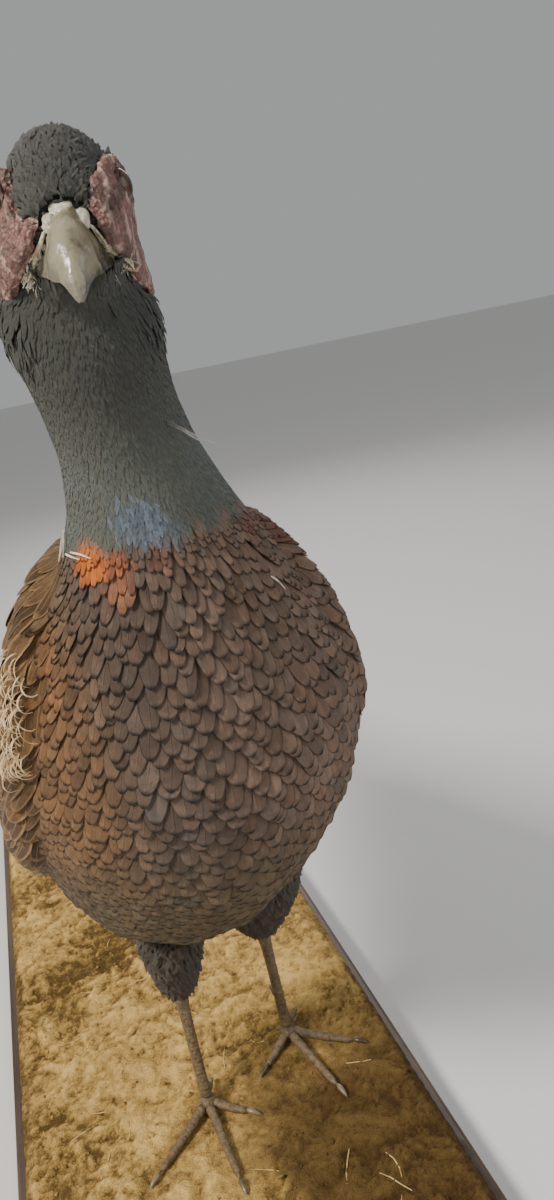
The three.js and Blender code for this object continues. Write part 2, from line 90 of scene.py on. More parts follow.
def bird_places(points: Array) -> tuple[Array, Array, Array]:
    """How far left, ahead and up places are from the middle of the feet, in millimetres.

    Args:
        points: places in the row frame, in metres.

    Returns:
        The three measures.
    """
    local = (points - np.array(FEET_MIDDLE)) / MM
    return local[..., 0], -local[..., 1], local[..., 2]


def tone(red: int, green: int, blue: int) -> Colour:
    """An everyday 0 to 255 colour as linear light."""
    return tuple((c / 255) ** 2.2 for c in (red, green, blue))


def smoothstep(low: float, high: float, value: Array) -> Array:
    """0 below low, 1 above high, and a soft step between."""
    t = np.clip((value - low) / (high - low), 0, 1)
    return t * t * (3 - 2 * t)


def blend(first: Array, second: Array, share: Array) -> Array:
    """Rows of colours, moved from first to second by each row's share."""
    return first + (np.asarray(second) - first) * share[:, None]


def clamp(value: float) -> float:
    """A number held between 0 and 1."""
    return min(1.0, max(0.0, value))


# ---- shader graph


class Wire:
    """A shader socket that can be used in sums."""

    def __init__(self, graph: "Graph", socket: bpy.types.NodeSocket) -> None:
        """Keeps the graph that the socket belongs to."""
        self.graph = graph
        self.socket = socket

    def _math(self, operation: str, first: object, second: object) -> "Wire":
        """Adds one Math node."""
        return self.graph.node("ShaderNodeMath", {"operation": operation}, {0: first, 1: second})

    def __add__(self, other: object) -> "Wire":
        """self + other."""
        return self._math("ADD", self, other)

    __radd__ = __add__

    def __sub__(self, other: object) -> "Wire":
        """self - other."""
        return self._math("SUBTRACT", self, other)

    def __rsub__(self, other: object) -> "Wire":
        """other - self."""
        return self._math("SUBTRACT", other, self)

    def __mul__(self, other: object) -> "Wire":
        """self * other."""
        return self._math("MULTIPLY", self, other)

    __rmul__ = __mul__

    def __abs__(self) -> "Wire":
        """The size of self without its sign."""
        return self.graph.node("ShaderNodeMath", {"operation": "ABSOLUTE"}, {0: self})

    def step(self, low: float, high: float) -> "Wire":
        """0 below low, 1 above high, soft between.

        Args:
            low: where the step starts.
            high: where it ends.

        Returns:
            The stepped value.
        """
        settings = {"interpolation_type": "SMOOTHSTEP"}
        inputs = {"Value": self, "From Min": low, "From Max": high}
        return self.graph.node("ShaderNodeMapRange", settings, inputs)


class Graph:
    """The node tree of one new material."""

    def __init__(self, name: str) -> None:
        """Makes an empty material with its output node.

        Args:
            name: the material's name.
        """
        self.material = bpy.data.materials.new(name)
        self.material.use_nodes = True
        self.nodes = self.material.node_tree.nodes
        self.nodes.clear()
        self.output = self.nodes.new("ShaderNodeOutputMaterial")

    def node(self, kind: str, settings: dict | None = None, inputs: dict | None = None,
             out: object = 0) -> Wire:
        """Adds a node.

        Args:
            kind: the node's type.
            settings: its properties, set first.
            inputs: numbers, colours or wires by socket name or index.
            out: the output socket that is wanted.

        Returns:
            That output as a wire.
        """
        made = self.nodes.new(kind)
        for key, value in (settings or {}).items():
            setattr(made, key, value)
        for key, value in (inputs or {}).items():
            if isinstance(value, Wire):
                self.material.node_tree.links.new(value.socket, made.inputs[key])
            else:
                made.inputs[key].default_value = value
        return Wire(self, made.outputs[out])

    def mix(self, factor: object, first: object, second: object, kind: str = "MIX") -> Wire:
        """Mixes two colours.

        Args:
            factor: how much of the second shows.
            first: the colour below.
            second: the colour above.
            kind: the blend type.

        Returns:
            The mixed colour.
        """
        settings = {"data_type": "RGBA", "blend_type": kind, "clamp_factor": True}
        colours = [(*c, 1) if isinstance(c, tuple) else c for c in (first, second)]
        return self.node("ShaderNodeMix", settings, {0: factor, 6: colours[0], 7: colours[1]}, out=2)

    def position(self) -> Wire:
        """The place on the object."""
        return self.node("ShaderNodeTexCoord", out="Object")

    def parts(self, vector: Wire) -> tuple[Wire, Wire, Wire]:
        """A vector's three parts."""
        return tuple(self.node("ShaderNodeSeparateXYZ", inputs={0: vector}, out=k) for k in range(3))

    def stretched(self, scale: tuple) -> Wire:
        """The place on the object, scaled along each axis."""
        return self.node("ShaderNodeMapping", inputs={"Vector": self.position(), "Scale": scale})

    def noise(self, scale: float, detail: float = 4, vector: Wire | None = None, rough: float = 0.55) -> Wire:
        """Noise of about 0.3 to 0.7.

        Args:
            scale: waves per metre.
            detail: how many finer layers it has.
            vector: where it is read, or the object's own place.
            rough: how strong the finer layers are.

        Returns:
            The noise value.
        """
        inputs = {"Vector": vector or self.position(), "Scale": scale, "Detail": detail, "Roughness": rough}
        return self.node("ShaderNodeTexNoise", inputs=inputs)

    def cells(self, scale: float) -> Wire:
        """The distance to the nearest Voronoi cell's middle, for so many cells per metre."""
        return self.node("ShaderNodeTexVoronoi", inputs={"Vector": self.position(), "Scale": scale})

    def attribute(self, name: str) -> Wire:
        """A colour kept on the mesh."""
        return self.node("ShaderNodeAttribute", {"attribute_name": name}, out="Color")

    def vane(self) -> tuple[Wire, Wire]:
        """Reads a piece's own map.

        Returns:
            The distance from the shaft or ridge, 0 to 1, and the share of the length.
        """
        flat = self.node("ShaderNodeUVMap", {"uv_map": "vane"})
        parts = self.node("ShaderNodeSeparateXYZ", inputs={0: flat})
        along = Wire(self, parts.socket.node.outputs[1])
        return abs(parts * 2 - 1), along

    def bump(self, height: Wire, distance: float, strength: float = 1.0) -> Wire:
        """A normal for a height."""
        inputs = {"Height": height, "Distance": distance, "Strength": strength}
        return self.node("ShaderNodeBump", inputs=inputs)

    def finish(self, **sockets: object) -> Material:
        """Ends the graph in one shader.

        Args:
            sockets: the shader's values, with _ for a space in their names.

        Returns:
            The finished material.
        """
        inputs = {key.replace("_", " "): value for key, value in sockets.items()}
        shader = self.node("ShaderNodeBsdfPrincipled", inputs=inputs)
        self.material.node_tree.links.new(shader.socket, self.output.inputs[0])
        return self.material


@dataclass(frozen=True)
class FeatherFinish:
    """Feathers that carry their own dye, with another colour along the rim."""

    name: str
    rim: float = 0.72
    rim_amount: float = 0.8
    shaft: float = 0.15
    mottle: float = 0.35
    roughness: float = 0.62
    sheen: float = 0.15
    barbs: float = 26.0
    gloss: float = 0.35

    def material(self) -> Material:
        """Builds the material.

        Returns:
            The material.
        """
        graph = Graph(self.name)
        across, along = graph.vane()
        dye = graph.attribute("dye")
        trim = graph.attribute("trim")
        # On breast and belly feathers the dark rim and tip are partly their own edging, partly painted shade
        # of the gaps between rows.
        edge = across.step(self.rim, self.rim + 0.22)
        tip = along.step(0.87, 0.99)
        rim = 1 - (1 - edge) * (1 - tip)
        grain = graph.noise(260, 5)
        dyed = graph.mix(rim * self.rim_amount, dye, trim)
        streaks = graph.node("ShaderNodeCombineXYZ", inputs={0: along * 3 + across * 5, 1: across * 2})
        frayed = graph.noise(self.barbs, 3, streaks)
        shade = (1 - self.mottle * (1 - frayed.step(0.3, 0.62))
                 - (1 - grain.step(0.3, 0.6)) * self.mottle * 0.5)
        shaft = (1 - across.step(0.0, 0.09)) * self.shaft
        grey = graph.node("ShaderNodeCombineColor", inputs={0: shade, 1: shade, 2: shade})
        shaded = graph.mix(1.0, dyed, grey, "MULTIPLY")
        final = graph.mix(shaft, shaded, trim)
        ridges = graph.node("ShaderNodeTexWave", {"wave_type": "BANDS"},
                            {"Vector": streaks, "Scale": self.barbs * 0.35, "Distortion": 1.5, "Detail": 2})
        relief = ridges * 0.5 + frayed + (1 - across.step(0.0, 0.1)) * 1.5
        return graph.finish(Base_Color=final, Roughness=self.roughness + (frayed - 0.5) * 0.3,
                            Normal=graph.bump(relief, 0.00035, 0.8), Sheen_Weight=self.sheen,
                            Sheen_Roughness=0.5, Specular_IOR_Level=self.gloss)


@dataclass(frozen=True)
class SkinFinish:
    """The skin under the coat, dyed like the feathers over it but darker."""

    name: str
    roughness: float = 0.85

    def material(self) -> Material:
        """Builds the material.

        Returns:
            The material.
        """
        graph = Graph(self.name)
        down = graph.noise(420, 6)
        colour = graph.mix(down.step(0.35, 0.65), graph.attribute("trim"), graph.attribute("dye"))
        return graph.finish(Base_Color=colour, Roughness=self.roughness,
                            Normal=graph.bump(down + graph.cells(900), 0.0006))


@dataclass(frozen=True)
class QuillFinish:
    """Long wing and tail feathers with bars across them."""

    name: str
    ground: Colour
    bar: Colour
    edge: Colour
    bars: float
    bar_width: float = 0.3
    roughness: float = 0.55

    def material(self) -> Material:
        """Builds the material.

        Returns:
            The material.
        """
        graph = Graph(self.name)
        across, along = graph.vane()
        wander = graph.noise(90, 3)
        counted = along * self.bars + wander + across * 0.5
        phase = graph.node("ShaderNodeMath", {"operation": "FRACT"}, {0: counted})
        barred = 1 - abs(phase - 0.5).step(self.bar_width * 0.5, self.bar_width * 0.5 + 0.12)
        fine = graph.noise(700, 4)
        ground = graph.mix(fine.step(0.35, 0.65), self.ground, tuple(c * 0.62 for c in self.ground))
        body = graph.mix(barred * (1 - across.step(0.55, 0.95)), ground, self.bar)
        colour = graph.mix(across.step(0.6, 0.95) * 0.75, body, self.edge)
        shafted = graph.mix(1 - across.step(0.02, 0.07), colour, tuple(c * 0.5 for c in self.bar))
        barbs = graph.node("ShaderNodeCombineXYZ", inputs={0: along * 60 + across * 7, 1: across})
        frayed = graph.noise(9, 3, barbs)
        return graph.finish(Base_Color=shafted, Roughness=self.roughness + (frayed - 0.5) * 0.25,
                            Normal=graph.bump(frayed, 0.0005), Specular_IOR_Level=0.4)


@dataclass(frozen=True)
class HornFinish:
    """Claws, spurs, straws and stiff bristles: pale horn with darker growth lines."""

    name: str
    pale: Colour
    dark: Colour
    depth: float = 60.0
    roughness: float = 0.32
    coat: float = 0.25

    def material(self) -> Material:
        """Builds the material.

        Returns:
            The material.
        """
        graph = Graph(self.name)
        cloud = graph.noise(self.depth, 5)
        lines = graph.noise(520, 4, graph.stretched((1, 0.22, 1)))
        stained = graph.mix(cloud.step(0.42, 0.66), self.pale, self.dark)
        colour = graph.mix(lines.step(0.5, 0.75) * 0.45, stained, self.dark)
        chips = graph.cells(1400)
        return graph.finish(Base_Color=colour, Roughness=self.roughness + lines * 0.25 - 0.1,
                            Coat_Weight=self.coat, Coat_Roughness=0.25,
                            Normal=graph.bump(lines + chips * 0.3, 0.0002, 0.7))


@dataclass(frozen=True)
class BillFinish:
    """The bill: ivory above, greyer and greener to the sides and the lower edge, partly as painted shade, and
    painted light on its right half.
    """

    name: str
    ivory: Colour
    shade: Colour
    flake: Colour
    roughness: float = 0.3

    def material(self) -> Material:
        """Builds the material.

        Returns:
            The material.
        """
        graph = Graph(self.name)
        across, along = graph.vane()
        cloud = graph.noise(190, 6)
        worn = graph.noise(420, 5, graph.stretched((1, 0.4, 1)))
        # Darker towards the edges and most at the lower edge: partly the horn's greyer sides, partly painted
        # shade.
        sides = (across.step(0.25, 1.0) * 0.6 + (cloud - 0.5) * 3.4 + across.step(0.9, 1.0) * 0.4
                 + along * 0.15)
        based = graph.mix(sides.step(0.1, 0.9), self.ivory, self.shade)
        flaky = worn.step(0.52, 0.68) * (1 - along.step(0.1, 0.45))
        flaked = graph.mix(flaky * 0.8, based, self.flake)
        # The half on the bird's right is made lighter: painted light on the side that faces the lamp.
        left, _, _ = graph.parts(graph.position())
        painted_lit_side = (1 - (left + (cloud - 0.5) * 0.012).step(0.013, 0.022)) * 0.3
        lit_side_colour = graph.mix(painted_lit_side, flaked, self.flake)
        colour = graph.mix((1 - along.step(0.03, 0.12)) * cloud.step(0.3, 0.6) * 0.65, lit_side_colour, self.flake)
        relief = worn * 0.6 + cloud + graph.cells(900) * 0.2
        return graph.finish(Base_Color=colour, Roughness=self.roughness + flaky * 0.3, Coat_Weight=0.35,
                            Coat_Roughness=0.2, Normal=graph.bump(relief, 0.0004, 0.7),
                            Subsurface_Weight=0.08, Subsurface_Radius=(0.004, 0.003, 0.002))


@dataclass(frozen=True)
class WattleFinish:
    """Dried, faded red skin with pale bristly streaks."""

    name: str
    red: Colour
    dark: Colour
    pale: Colour

    def material(self) -> Material:
        """Builds the material.

        Returns:
            The material.
        """
        graph = Graph(self.name)
        patches = graph.noise(150, 5)
        warts = graph.cells(900)
        streaks = graph.noise(330, 4, graph.stretched((1, 1, 0.3)))
        based = graph.mix(patches.step(0.4, 0.62), self.red, self.dark)
        rubbed = graph.mix(warts.step(0.25, 0.6) * 0.5, based, self.dark)
        colour = graph.mix(streaks.step(0.52, 0.66) * 0.75, rubbed, self.pale)
        return graph.finish(Base_Color=colour, Roughness=0.55 + streaks * 0.3 - 0.1,
                            Normal=graph.bump(warts + streaks, 0.0007, 0.8), Subsurface_Weight=0.1,
                            Subsurface_Radius=(0.004, 0.002, 0.001))


@dataclass(frozen=True)
class ScaleFinish:
    """The dry scaled skin of shanks and toes."""

    name: str
    ridge: Colour
    groove: Colour
    dust: Colour = tone(186, 160, 120)

    def material(self) -> Material:
        """Builds the material.

        Returns:
            The material.
        """
        graph = Graph(self.name)
        stain = graph.noise(330, 5)
        plates = graph.cells(750)
        colour = graph.mix(stain.step(0.36, 0.7) * 0.7, self.ridge, self.groove)
        grooved = graph.mix((1 - plates.step(0.05, 0.35)) * 0.4, colour, self.groove)
        dust = graph.noise(900, 3)
        dusty = graph.mix(dust.step(0.55, 0.75) * 0.4, grooved, self.dust)
        return graph.finish(Base_Color=dusty, Roughness=0.6 + (dust - 0.5) * 0.4,
                            Normal=graph.bump(plates + dust * 0.4, 0.0004, 0.8))


@dataclass(frozen=True)
class EyeFinish:
    """A glass eye: black pupil, brown iris and a wet, clear surface."""

    name: str
    iris: Colour
    ring: Colour
    pupil: float = 0.42
    iris_edge: float = 0.8
    black: Colour = (0.004, 0.003, 0.003)
    rim: Colour = (0.01, 0.008, 0.007)

    def material(self) -> Material:
        """Builds the material.

        Returns:
            The material.
        """
        graph = Graph(self.name)
        across, _ = graph.vane()
        fibres = graph.noise(900, 4)
        brown = graph.mix(fibres.step(0.4, 0.65), self.iris, self.ring)
        eyed = graph.mix(across.step(self.pupil, self.pupil + 0.06), self.black, brown)
        colour = graph.mix(across.step(self.iris_edge, self.iris_edge + 0.08), eyed, self.rim)
        return graph.finish(Base_Color=colour, Roughness=0.2 + fibres * 0.2, Coat_Weight=0.25,
                            Coat_Roughness=0.08, Specular_IOR_Level=0.3)


@dataclass(frozen=True)
class EarthFinish:
    """Sandy earth with grit and crumbs, painted light and shade on its relief, and a patch partly moist,
    partly painted shadow.
    """

    name: str
    light: Colour
    middle: Colour
    dark: Colour
    # the dark of the patch by the bird's left front: partly moist earth, partly painted shadow of the bird
    damp_and_shadow: Colour = tone(64, 46, 24)

    def material(self) -> Material:
        """Builds the material.

        Returns:
            The material.
        """
        graph = Graph(self.name)
        broad = graph.noise(14, 5)
        fine = graph.noise(150, 8, rough=0.75)
        grit = graph.cells(1300)
        # Higher places are painted lighter and hollows darker: painted light and shade, mixed with noise in
        # the earth's own tone.
        crest = graph.node("ShaderNodeSeparateColor", inputs={0: graph.attribute("dye")})
        raised = crest * 0.5 + (fine - 0.5) * 1.6 + (broad - 0.5) * 0.9 + 0.15
        base = graph.mix(raised.step(0.0, 0.45), self.dark, self.middle)
        lit = graph.mix(raised.step(0.3, 0.85), base, self.light)
        # Towards the bird's left and front the earth is darkened: partly moist earth, partly painted shadow
        # of the bird.
        across, along, _ = graph.parts(graph.position())
        ragged = (broad - 0.5) * 0.12
        side = (across + ragged).step(0.01, 0.05) * (1 - (along + ragged).step(-0.21, -0.11))
        damp_and_shadow = graph.mix(side * 0.86, lit, self.damp_and_shadow)
        specked = graph.mix((1 - grit.step(0.1, 0.3)) * 0.25, damp_and_shadow, self.dark)
        relief = fine + grit * 0.3
        return graph.finish(Base_Color=specked, Roughness=0.9 + (fine - 0.5) * 0.2, Specular_IOR_Level=0.2,
                            Normal=graph.bump(relief, 0.002, 0.9))


@dataclass(frozen=True)
class WoodFinish:
    """Dark waxed wood, with its grain along the board."""

    name: str
    light: Colour
    dark: Colour

    def material(self) -> Material:
        """Builds the material.

        Returns:
            The material.
        """
        graph = Graph(self.name)
        rings = graph.noise(70, 6, graph.stretched((1, 0.06, 1)))
        pores = graph.noise(900, 3, graph.stretched((1, 0.03, 1)))
        colour = graph.mix(rings.step(0.35, 0.65), self.dark, self.light)
        pored = graph.mix(pores.step(0.58, 0.7) * 0.6, colour, tuple(c * 0.4 for c in self.dark))
        return graph.finish(Base_Color=pored, Roughness=0.42 + rings * 0.2, Coat_Weight=0.15,
                            Normal=graph.bump(pores * -0.6 + rings * 0.4, 0.0003))


@dataclass(frozen=True)
class FloorFinish:
    """The plain pale studio floor."""

    name: str
    colour: Colour

    def material(self) -> Material:
        """Builds the floor's material."""
        graph = Graph(self.name)
        return graph.finish(Base_Color=(*self.colour, 1), Roughness=0.8)


# ---- mesh helpers


def link(name: str, mesh: Mesh, material: Material, smooth: bool = True, sharp: float = 55) -> Object:
    """Puts a mesh into the scene as a smooth-shaded piece.

    Args:
        name: the piece's name.
        mesh: its mesh.
        material: its finish.
        smooth: whether its faces are shaded smooth.
        sharp: the angle in degrees past which an edge stays hard.

    Returns:
        The new object.
    """
    piece = bpy.data.objects.new(name, mesh)
    bpy.context.scene.collection.objects.link(piece)
    mesh.materials.append(material)
    mesh.polygons.foreach_set("use_smooth", [smooth] * len(mesh.polygons))
    if smooth:
        mesh.set_sharp_from_angle(angle=math.radians(sharp))
    return piece


def settle(piece: Object, slot: str, *nodes: str) -> Object:
    """Fixes a finished piece to the part and reports it.

    Args:
        piece: the piece.
        slot: not used.
        nodes: the frame's nodes that it stands for.

    Returns:
        The same piece.
    """
    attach(piece, "root")
    if nodes:
        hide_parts(*nodes)
    LOG.info("%s: %d faces", piece.name, len(piece.data.polygons))
    return piece


def from_bmesh(name: str, made: BMesh) -> Mesh:
    """Turns a bmesh into a mesh and frees it.

    Args:
        name: the mesh's name.
        made: the bmesh.

    Returns:
        The mesh.
    """
    mesh = bpy.data.meshes.new(name)
    made.to_mesh(mesh)
    made.free()
    return mesh


def absorb(whole: BMesh, part: BMesh) -> None:
    """Adds one bmesh to another and frees it.

    Args:
        whole: the bmesh that grows.
        part: what is added.
    """
    shape = from_bmesh("part", part)
    whole.from_mesh(shape)
    bpy.data.meshes.remove(shape)


def node_points(name: str) -> Array:
    """The corners of one of the frame's nodes.

    Args:
        name: the node.

    Returns:
        One row for each corner.
    """
    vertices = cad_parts[name].data.vertices
    found = np.empty(len(vertices) * 3)
    vertices.foreach_get("co", found)
    return found.reshape(-1, 3)


def set_colours(mesh: Mesh, name: str, colours: Array) -> None:
    """Keeps one linear colour for each vertex."""
    solid = np.column_stack([colours, np.ones(len(colours))]).astype(np.float32)
    mesh.attributes.new(name, "FLOAT_COLOR", "POINT").data.foreach_set("color", solid.ravel())


def soften(made: BMesh) -> None:
    """Smooths every vertex once along all three axes."""
    bmesh.ops.smooth_vert(made, verts=made.verts, factor=0.5, use_axis_x=True, use_axis_y=True,
                          use_axis_z=True)


def map_corners(made: BMesh, maps: bmesh.types.BMLayerItem, place: Callable) -> None:
    """Turns all faces outwards and fills a UV map.

    Args:
        made: the bmesh.
        maps: the map's layer.
        place: gives a vertex its place on the map.
    """
    bmesh.ops.recalc_face_normals(made, faces=made.faces)
    for face in made.faces:
        for corner in face.loops:
            corner[maps].uv = place(corner.vert)


def set_map(mesh: Mesh, name: str, places: Array) -> None:
    """Gives a mesh a UV map.

    Args:
        mesh: the mesh.
        name: the map's name.
        places: one place for each vertex.
    """
    corner_vertices = np.empty(len(mesh.loops), np.int32)
    mesh.loops.foreach_get("vertex_index", corner_vertices)
    layer = mesh.uv_layers.new(name=name)
    layer.data.foreach_set("uv", places[corner_vertices].astype(np.float32).ravel())


def smooth_curve(points: Array, count: int) -> Array:
    """A smooth curve through points.

    Args:
        points: rows of any width.
        count: how many rows are wanted, evenly spaced by point number.

    Returns:
        The rows on the curve.
    """
    padded = np.vstack([2 * points[0] - points[1], points, 2 * points[-1] - points[-2]])
    place = np.linspace(0, len(points) - 1, count)
    k = np.minimum(place.astype(int), len(points) - 2)
    t = (place - k)[:, None]
    a, b, c, d = (padded[k + n] for n in range(4))
    return 0.5 * (2 * b + (c - a) * t + (2 * a - 5 * b + 4 * c - d) * t**2 + (3 * b - a - 3 * c + d) * t**3)


def unit(rows: Array) -> Array:
    """Rows scaled to length 1."""
    return rows / np.maximum(np.linalg.norm(rows, axis=-1, keepdims=True), 1e-12)


# ---- the flesh and its markings


@dataclass(frozen=True)
class Mark:
    """A soft-edged patch of colour on the coat, in millimetres ahead, left and up from the feet."""

    at: tuple[float, float, float]
    radius: float
    colour: Colour
    amount: float = 1.0


@dataclass(frozen=True)
class Markings:
    """The colours of skin and coat by place on the bird."""

    crown: Colour = tone(83, 82, 77)
    neck: Colour = tone(79, 80, 73)
    neck_low: Colour = tone(109, 113, 104)
    breast: Colour = tone(117, 99, 88)
    breast_right: Colour = tone(148, 110, 74)
    breast_left: Colour = tone(160, 131, 112)
    belly: Colour = tone(118, 99, 73)
    wing: Colour = tone(150, 120, 88)
    back: Colour = tone(128, 96, 66)
    rump: Colour = tone(120, 108, 74)
    marks: tuple[Mark, ...] = (
        # the two blue marks are painted iridescent sheen on the front of the lower neck
        Mark((147, -4, 364), 11, tone(108, 124, 146), 0.6),
        Mark((148, 5, 359), 7, tone(106, 120, 142), 0.4),
        Mark((133, -20, 353), 10, tone(255, 138, 62), 0.95),
        Mark((140, -13, 351), 8, tone(214, 120, 78), 0.65),
        Mark((141, -14, 342), 7, tone(214, 138, 94), 0.5),
        Mark((147, 1, 351), 7, tone(160, 108, 92), 0.5),
        Mark((112, -42, 324), 10, tone(190, 118, 74), 0.28),
        Mark((117, -44, 308), 11, tone(190, 118, 76), 0.25),
        Mark((104, 48, 346), 18, tone(160, 96, 76), 0.5),
        Mark((128, 34, 354), 10, tone(154, 98, 82), 0.5),
    )

    def colours(self, points: Array) -> Array:
        """Linear colours of the feathers.

        Args:
            points: places in the row frame, in metres.

        Returns:
            One colour for each place.
        """
        left, ahead, height = bird_places(points)
        found = np.tile(np.array(self.breast), (len(points), 1))
        found = blend(found, self.breast_left, smoothstep(-15, 35, left) * 0.8)
        found = blend(found, self.breast_right, smoothstep(-20, -48, left) * 0.9)
        found = blend(found, self.belly, smoothstep(262, 200, height))
        behind = smoothstep(60, 0, ahead) * smoothstep(262, 300, height)
        nape = smoothstep(105, 70, ahead) * smoothstep(330, 345, height)
        found = blend(found, self.back, np.maximum(behind, nape))
        found = blend(found, self.rump, smoothstep(-30, -90, ahead) * smoothstep(225, 250, height))
        ragged = 2.0 * np.sin(left * 0.55) + 1.5 * np.sin(left * 1.3 + ahead)
        border = NECK_LINE + 0.03 * (ahead - 115) + ragged
        found = blend(found, self.neck_low, smoothstep(-2.5, 2.5, height - border))
        found = blend(found, self.neck, smoothstep(374, 408, height))
        found = blend(found, self.crown, smoothstep(446, 462, height))
        for mark in self.marks:
            at = np.array([mark.at[1], mark.at[0], mark.at[2]])
            away = np.linalg.norm(np.stack([left, ahead, height], 1) - at, axis=1)
            found = blend(found, mark.colour, mark.amount * smoothstep(mark.radius, mark.radius * 0.45, away))
        return found


MARKINGS = Markings()


@dataclass
class Flesh:
    """The bird's flesh: one closed skin made of all its soft nodes."""

    voxel: float = 2.4 * MM
    swell: float = 0.5 * MM
    rounds: int = 6

    def hull(self, names: list[str], voxel: float | None = None) -> BMesh:
        """One smooth closed shape round some of the frame's nodes.

        Args:
            names: the nodes.
            voxel: the size of its faces, or the usual one.

        Returns:
            The shape.
        """
        joined = bmesh.new()
        for name in names:
            part = bmesh.new()
            part.from_mesh(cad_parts[name].data)
            bmesh.ops.remove_doubles(part, verts=part.verts, dist=1e-6)
            part.normal_update()
            for vertex in part.verts:
                vertex.co += vertex.normal * self.swell
            absorb(joined, part)
        holder = bpy.data.objects.new("hull", from_bmesh("hull", joined))
        bpy.context.scene.collection.objects.link(holder)
        remesh = holder.modifiers.new("remesh", "REMESH")
        remesh.mode = "VOXEL"
        remesh.voxel_size = voxel or self.voxel
        evaluated = holder.evaluated_get(bpy.context.evaluated_depsgraph_get())
        made = bmesh.new()
        made.from_mesh(evaluated.to_mesh())
        bpy.data.objects.remove(holder)
        for _ in range(self.rounds):
            soften(made)
        made.normal_update()
        return made

    def depth(self, points: Array) -> Array:
        """How deep the coat is over the skin, in metres.

        Args:
            points: places in the row frame.

        Returns:
            One depth for each place.
        """
        height = bird_places(points)[2]
        deep = 4.2 - 2.4 * smoothstep(345, 375, height) - 0.7 * smoothstep(440, 460, height)
        return (deep - 1.2 * smoothstep(175, 140, height)) * MM

    def build(self) -> Object:
        """Makes the skin that lies under the whole coat.

        Returns:
            The skin.
        """
        nodes = ["trunk", "neck", "head", "wing_left", "wing_right", "thigh_left", "thigh_right",
                 "tail_coverts_upper", "tail_coverts_under"]
        made = self.hull(nodes)
        places = np.array([v.co for v in made.verts])
        depth = self.depth(places) + self.swell
        for vertex, deep in zip(made.verts, depth):
            vertex.co -= vertex.normal * float(deep)
        soften(made)
        mesh = from_bmesh("skin", made)
        colours = MARKINGS.colours(places)
        set_colours(mesh, "dye", colours * 0.5)
        set_colours(mesh, "trim", colours * 0.25)
        skin = link("skin", mesh, SkinFinish("feathered_skin").material())
        return settle(skin, "body_feathers", *nodes)


# ---- the coat


@dataclass(frozen=True)
class Station:
    """One cross-section of an axis: where it is, how far back it leans, and how far out the flesh may be."""

    ahead: float
    left: float
    height: float
    tilt: float
    reach: float = 130


@dataclass(frozen=True)
class Axis:
    """A line through the flesh, from which cross-sections fan out."""

    stations: tuple[Station, ...]

    def sections(self, rows: int) -> tuple[Array, Array, Array, Array]:
        """The middles, left and up directions and reaches of evenly spaced sections.

        Args:
            rows: how many sections there are.

        Returns:
            Four arrays of one row for each section.
        """
        raw = np.array([(s.ahead, s.left, s.height, s.tilt, s.reach) for s in self.stations])
        curve = smooth_curve(raw, rows * 4)
        gone = np.concatenate([[0], np.cumsum(np.linalg.norm(np.diff(curve[:, :3], axis=0), axis=1)
                                              + 0.25 * np.abs(np.diff(curve[:, 3])))])
        even = np.linspace(0, gone[-1], rows)
        curve = np.stack([np.interp(even, gone, curve[:, k]) for k in range(5)], axis=1)
        middles = np.array([bird_point(*row[:3]) for row in curve])
        lean = np.radians(curve[:, 3])
        up = np.stack([np.zeros(rows), np.sin(lean), np.cos(lean)], axis=1)
        left = np.tile([1.0, 0.0, 0.0], (rows, 1))
        return middles, left, up, curve[:, 4] * MM


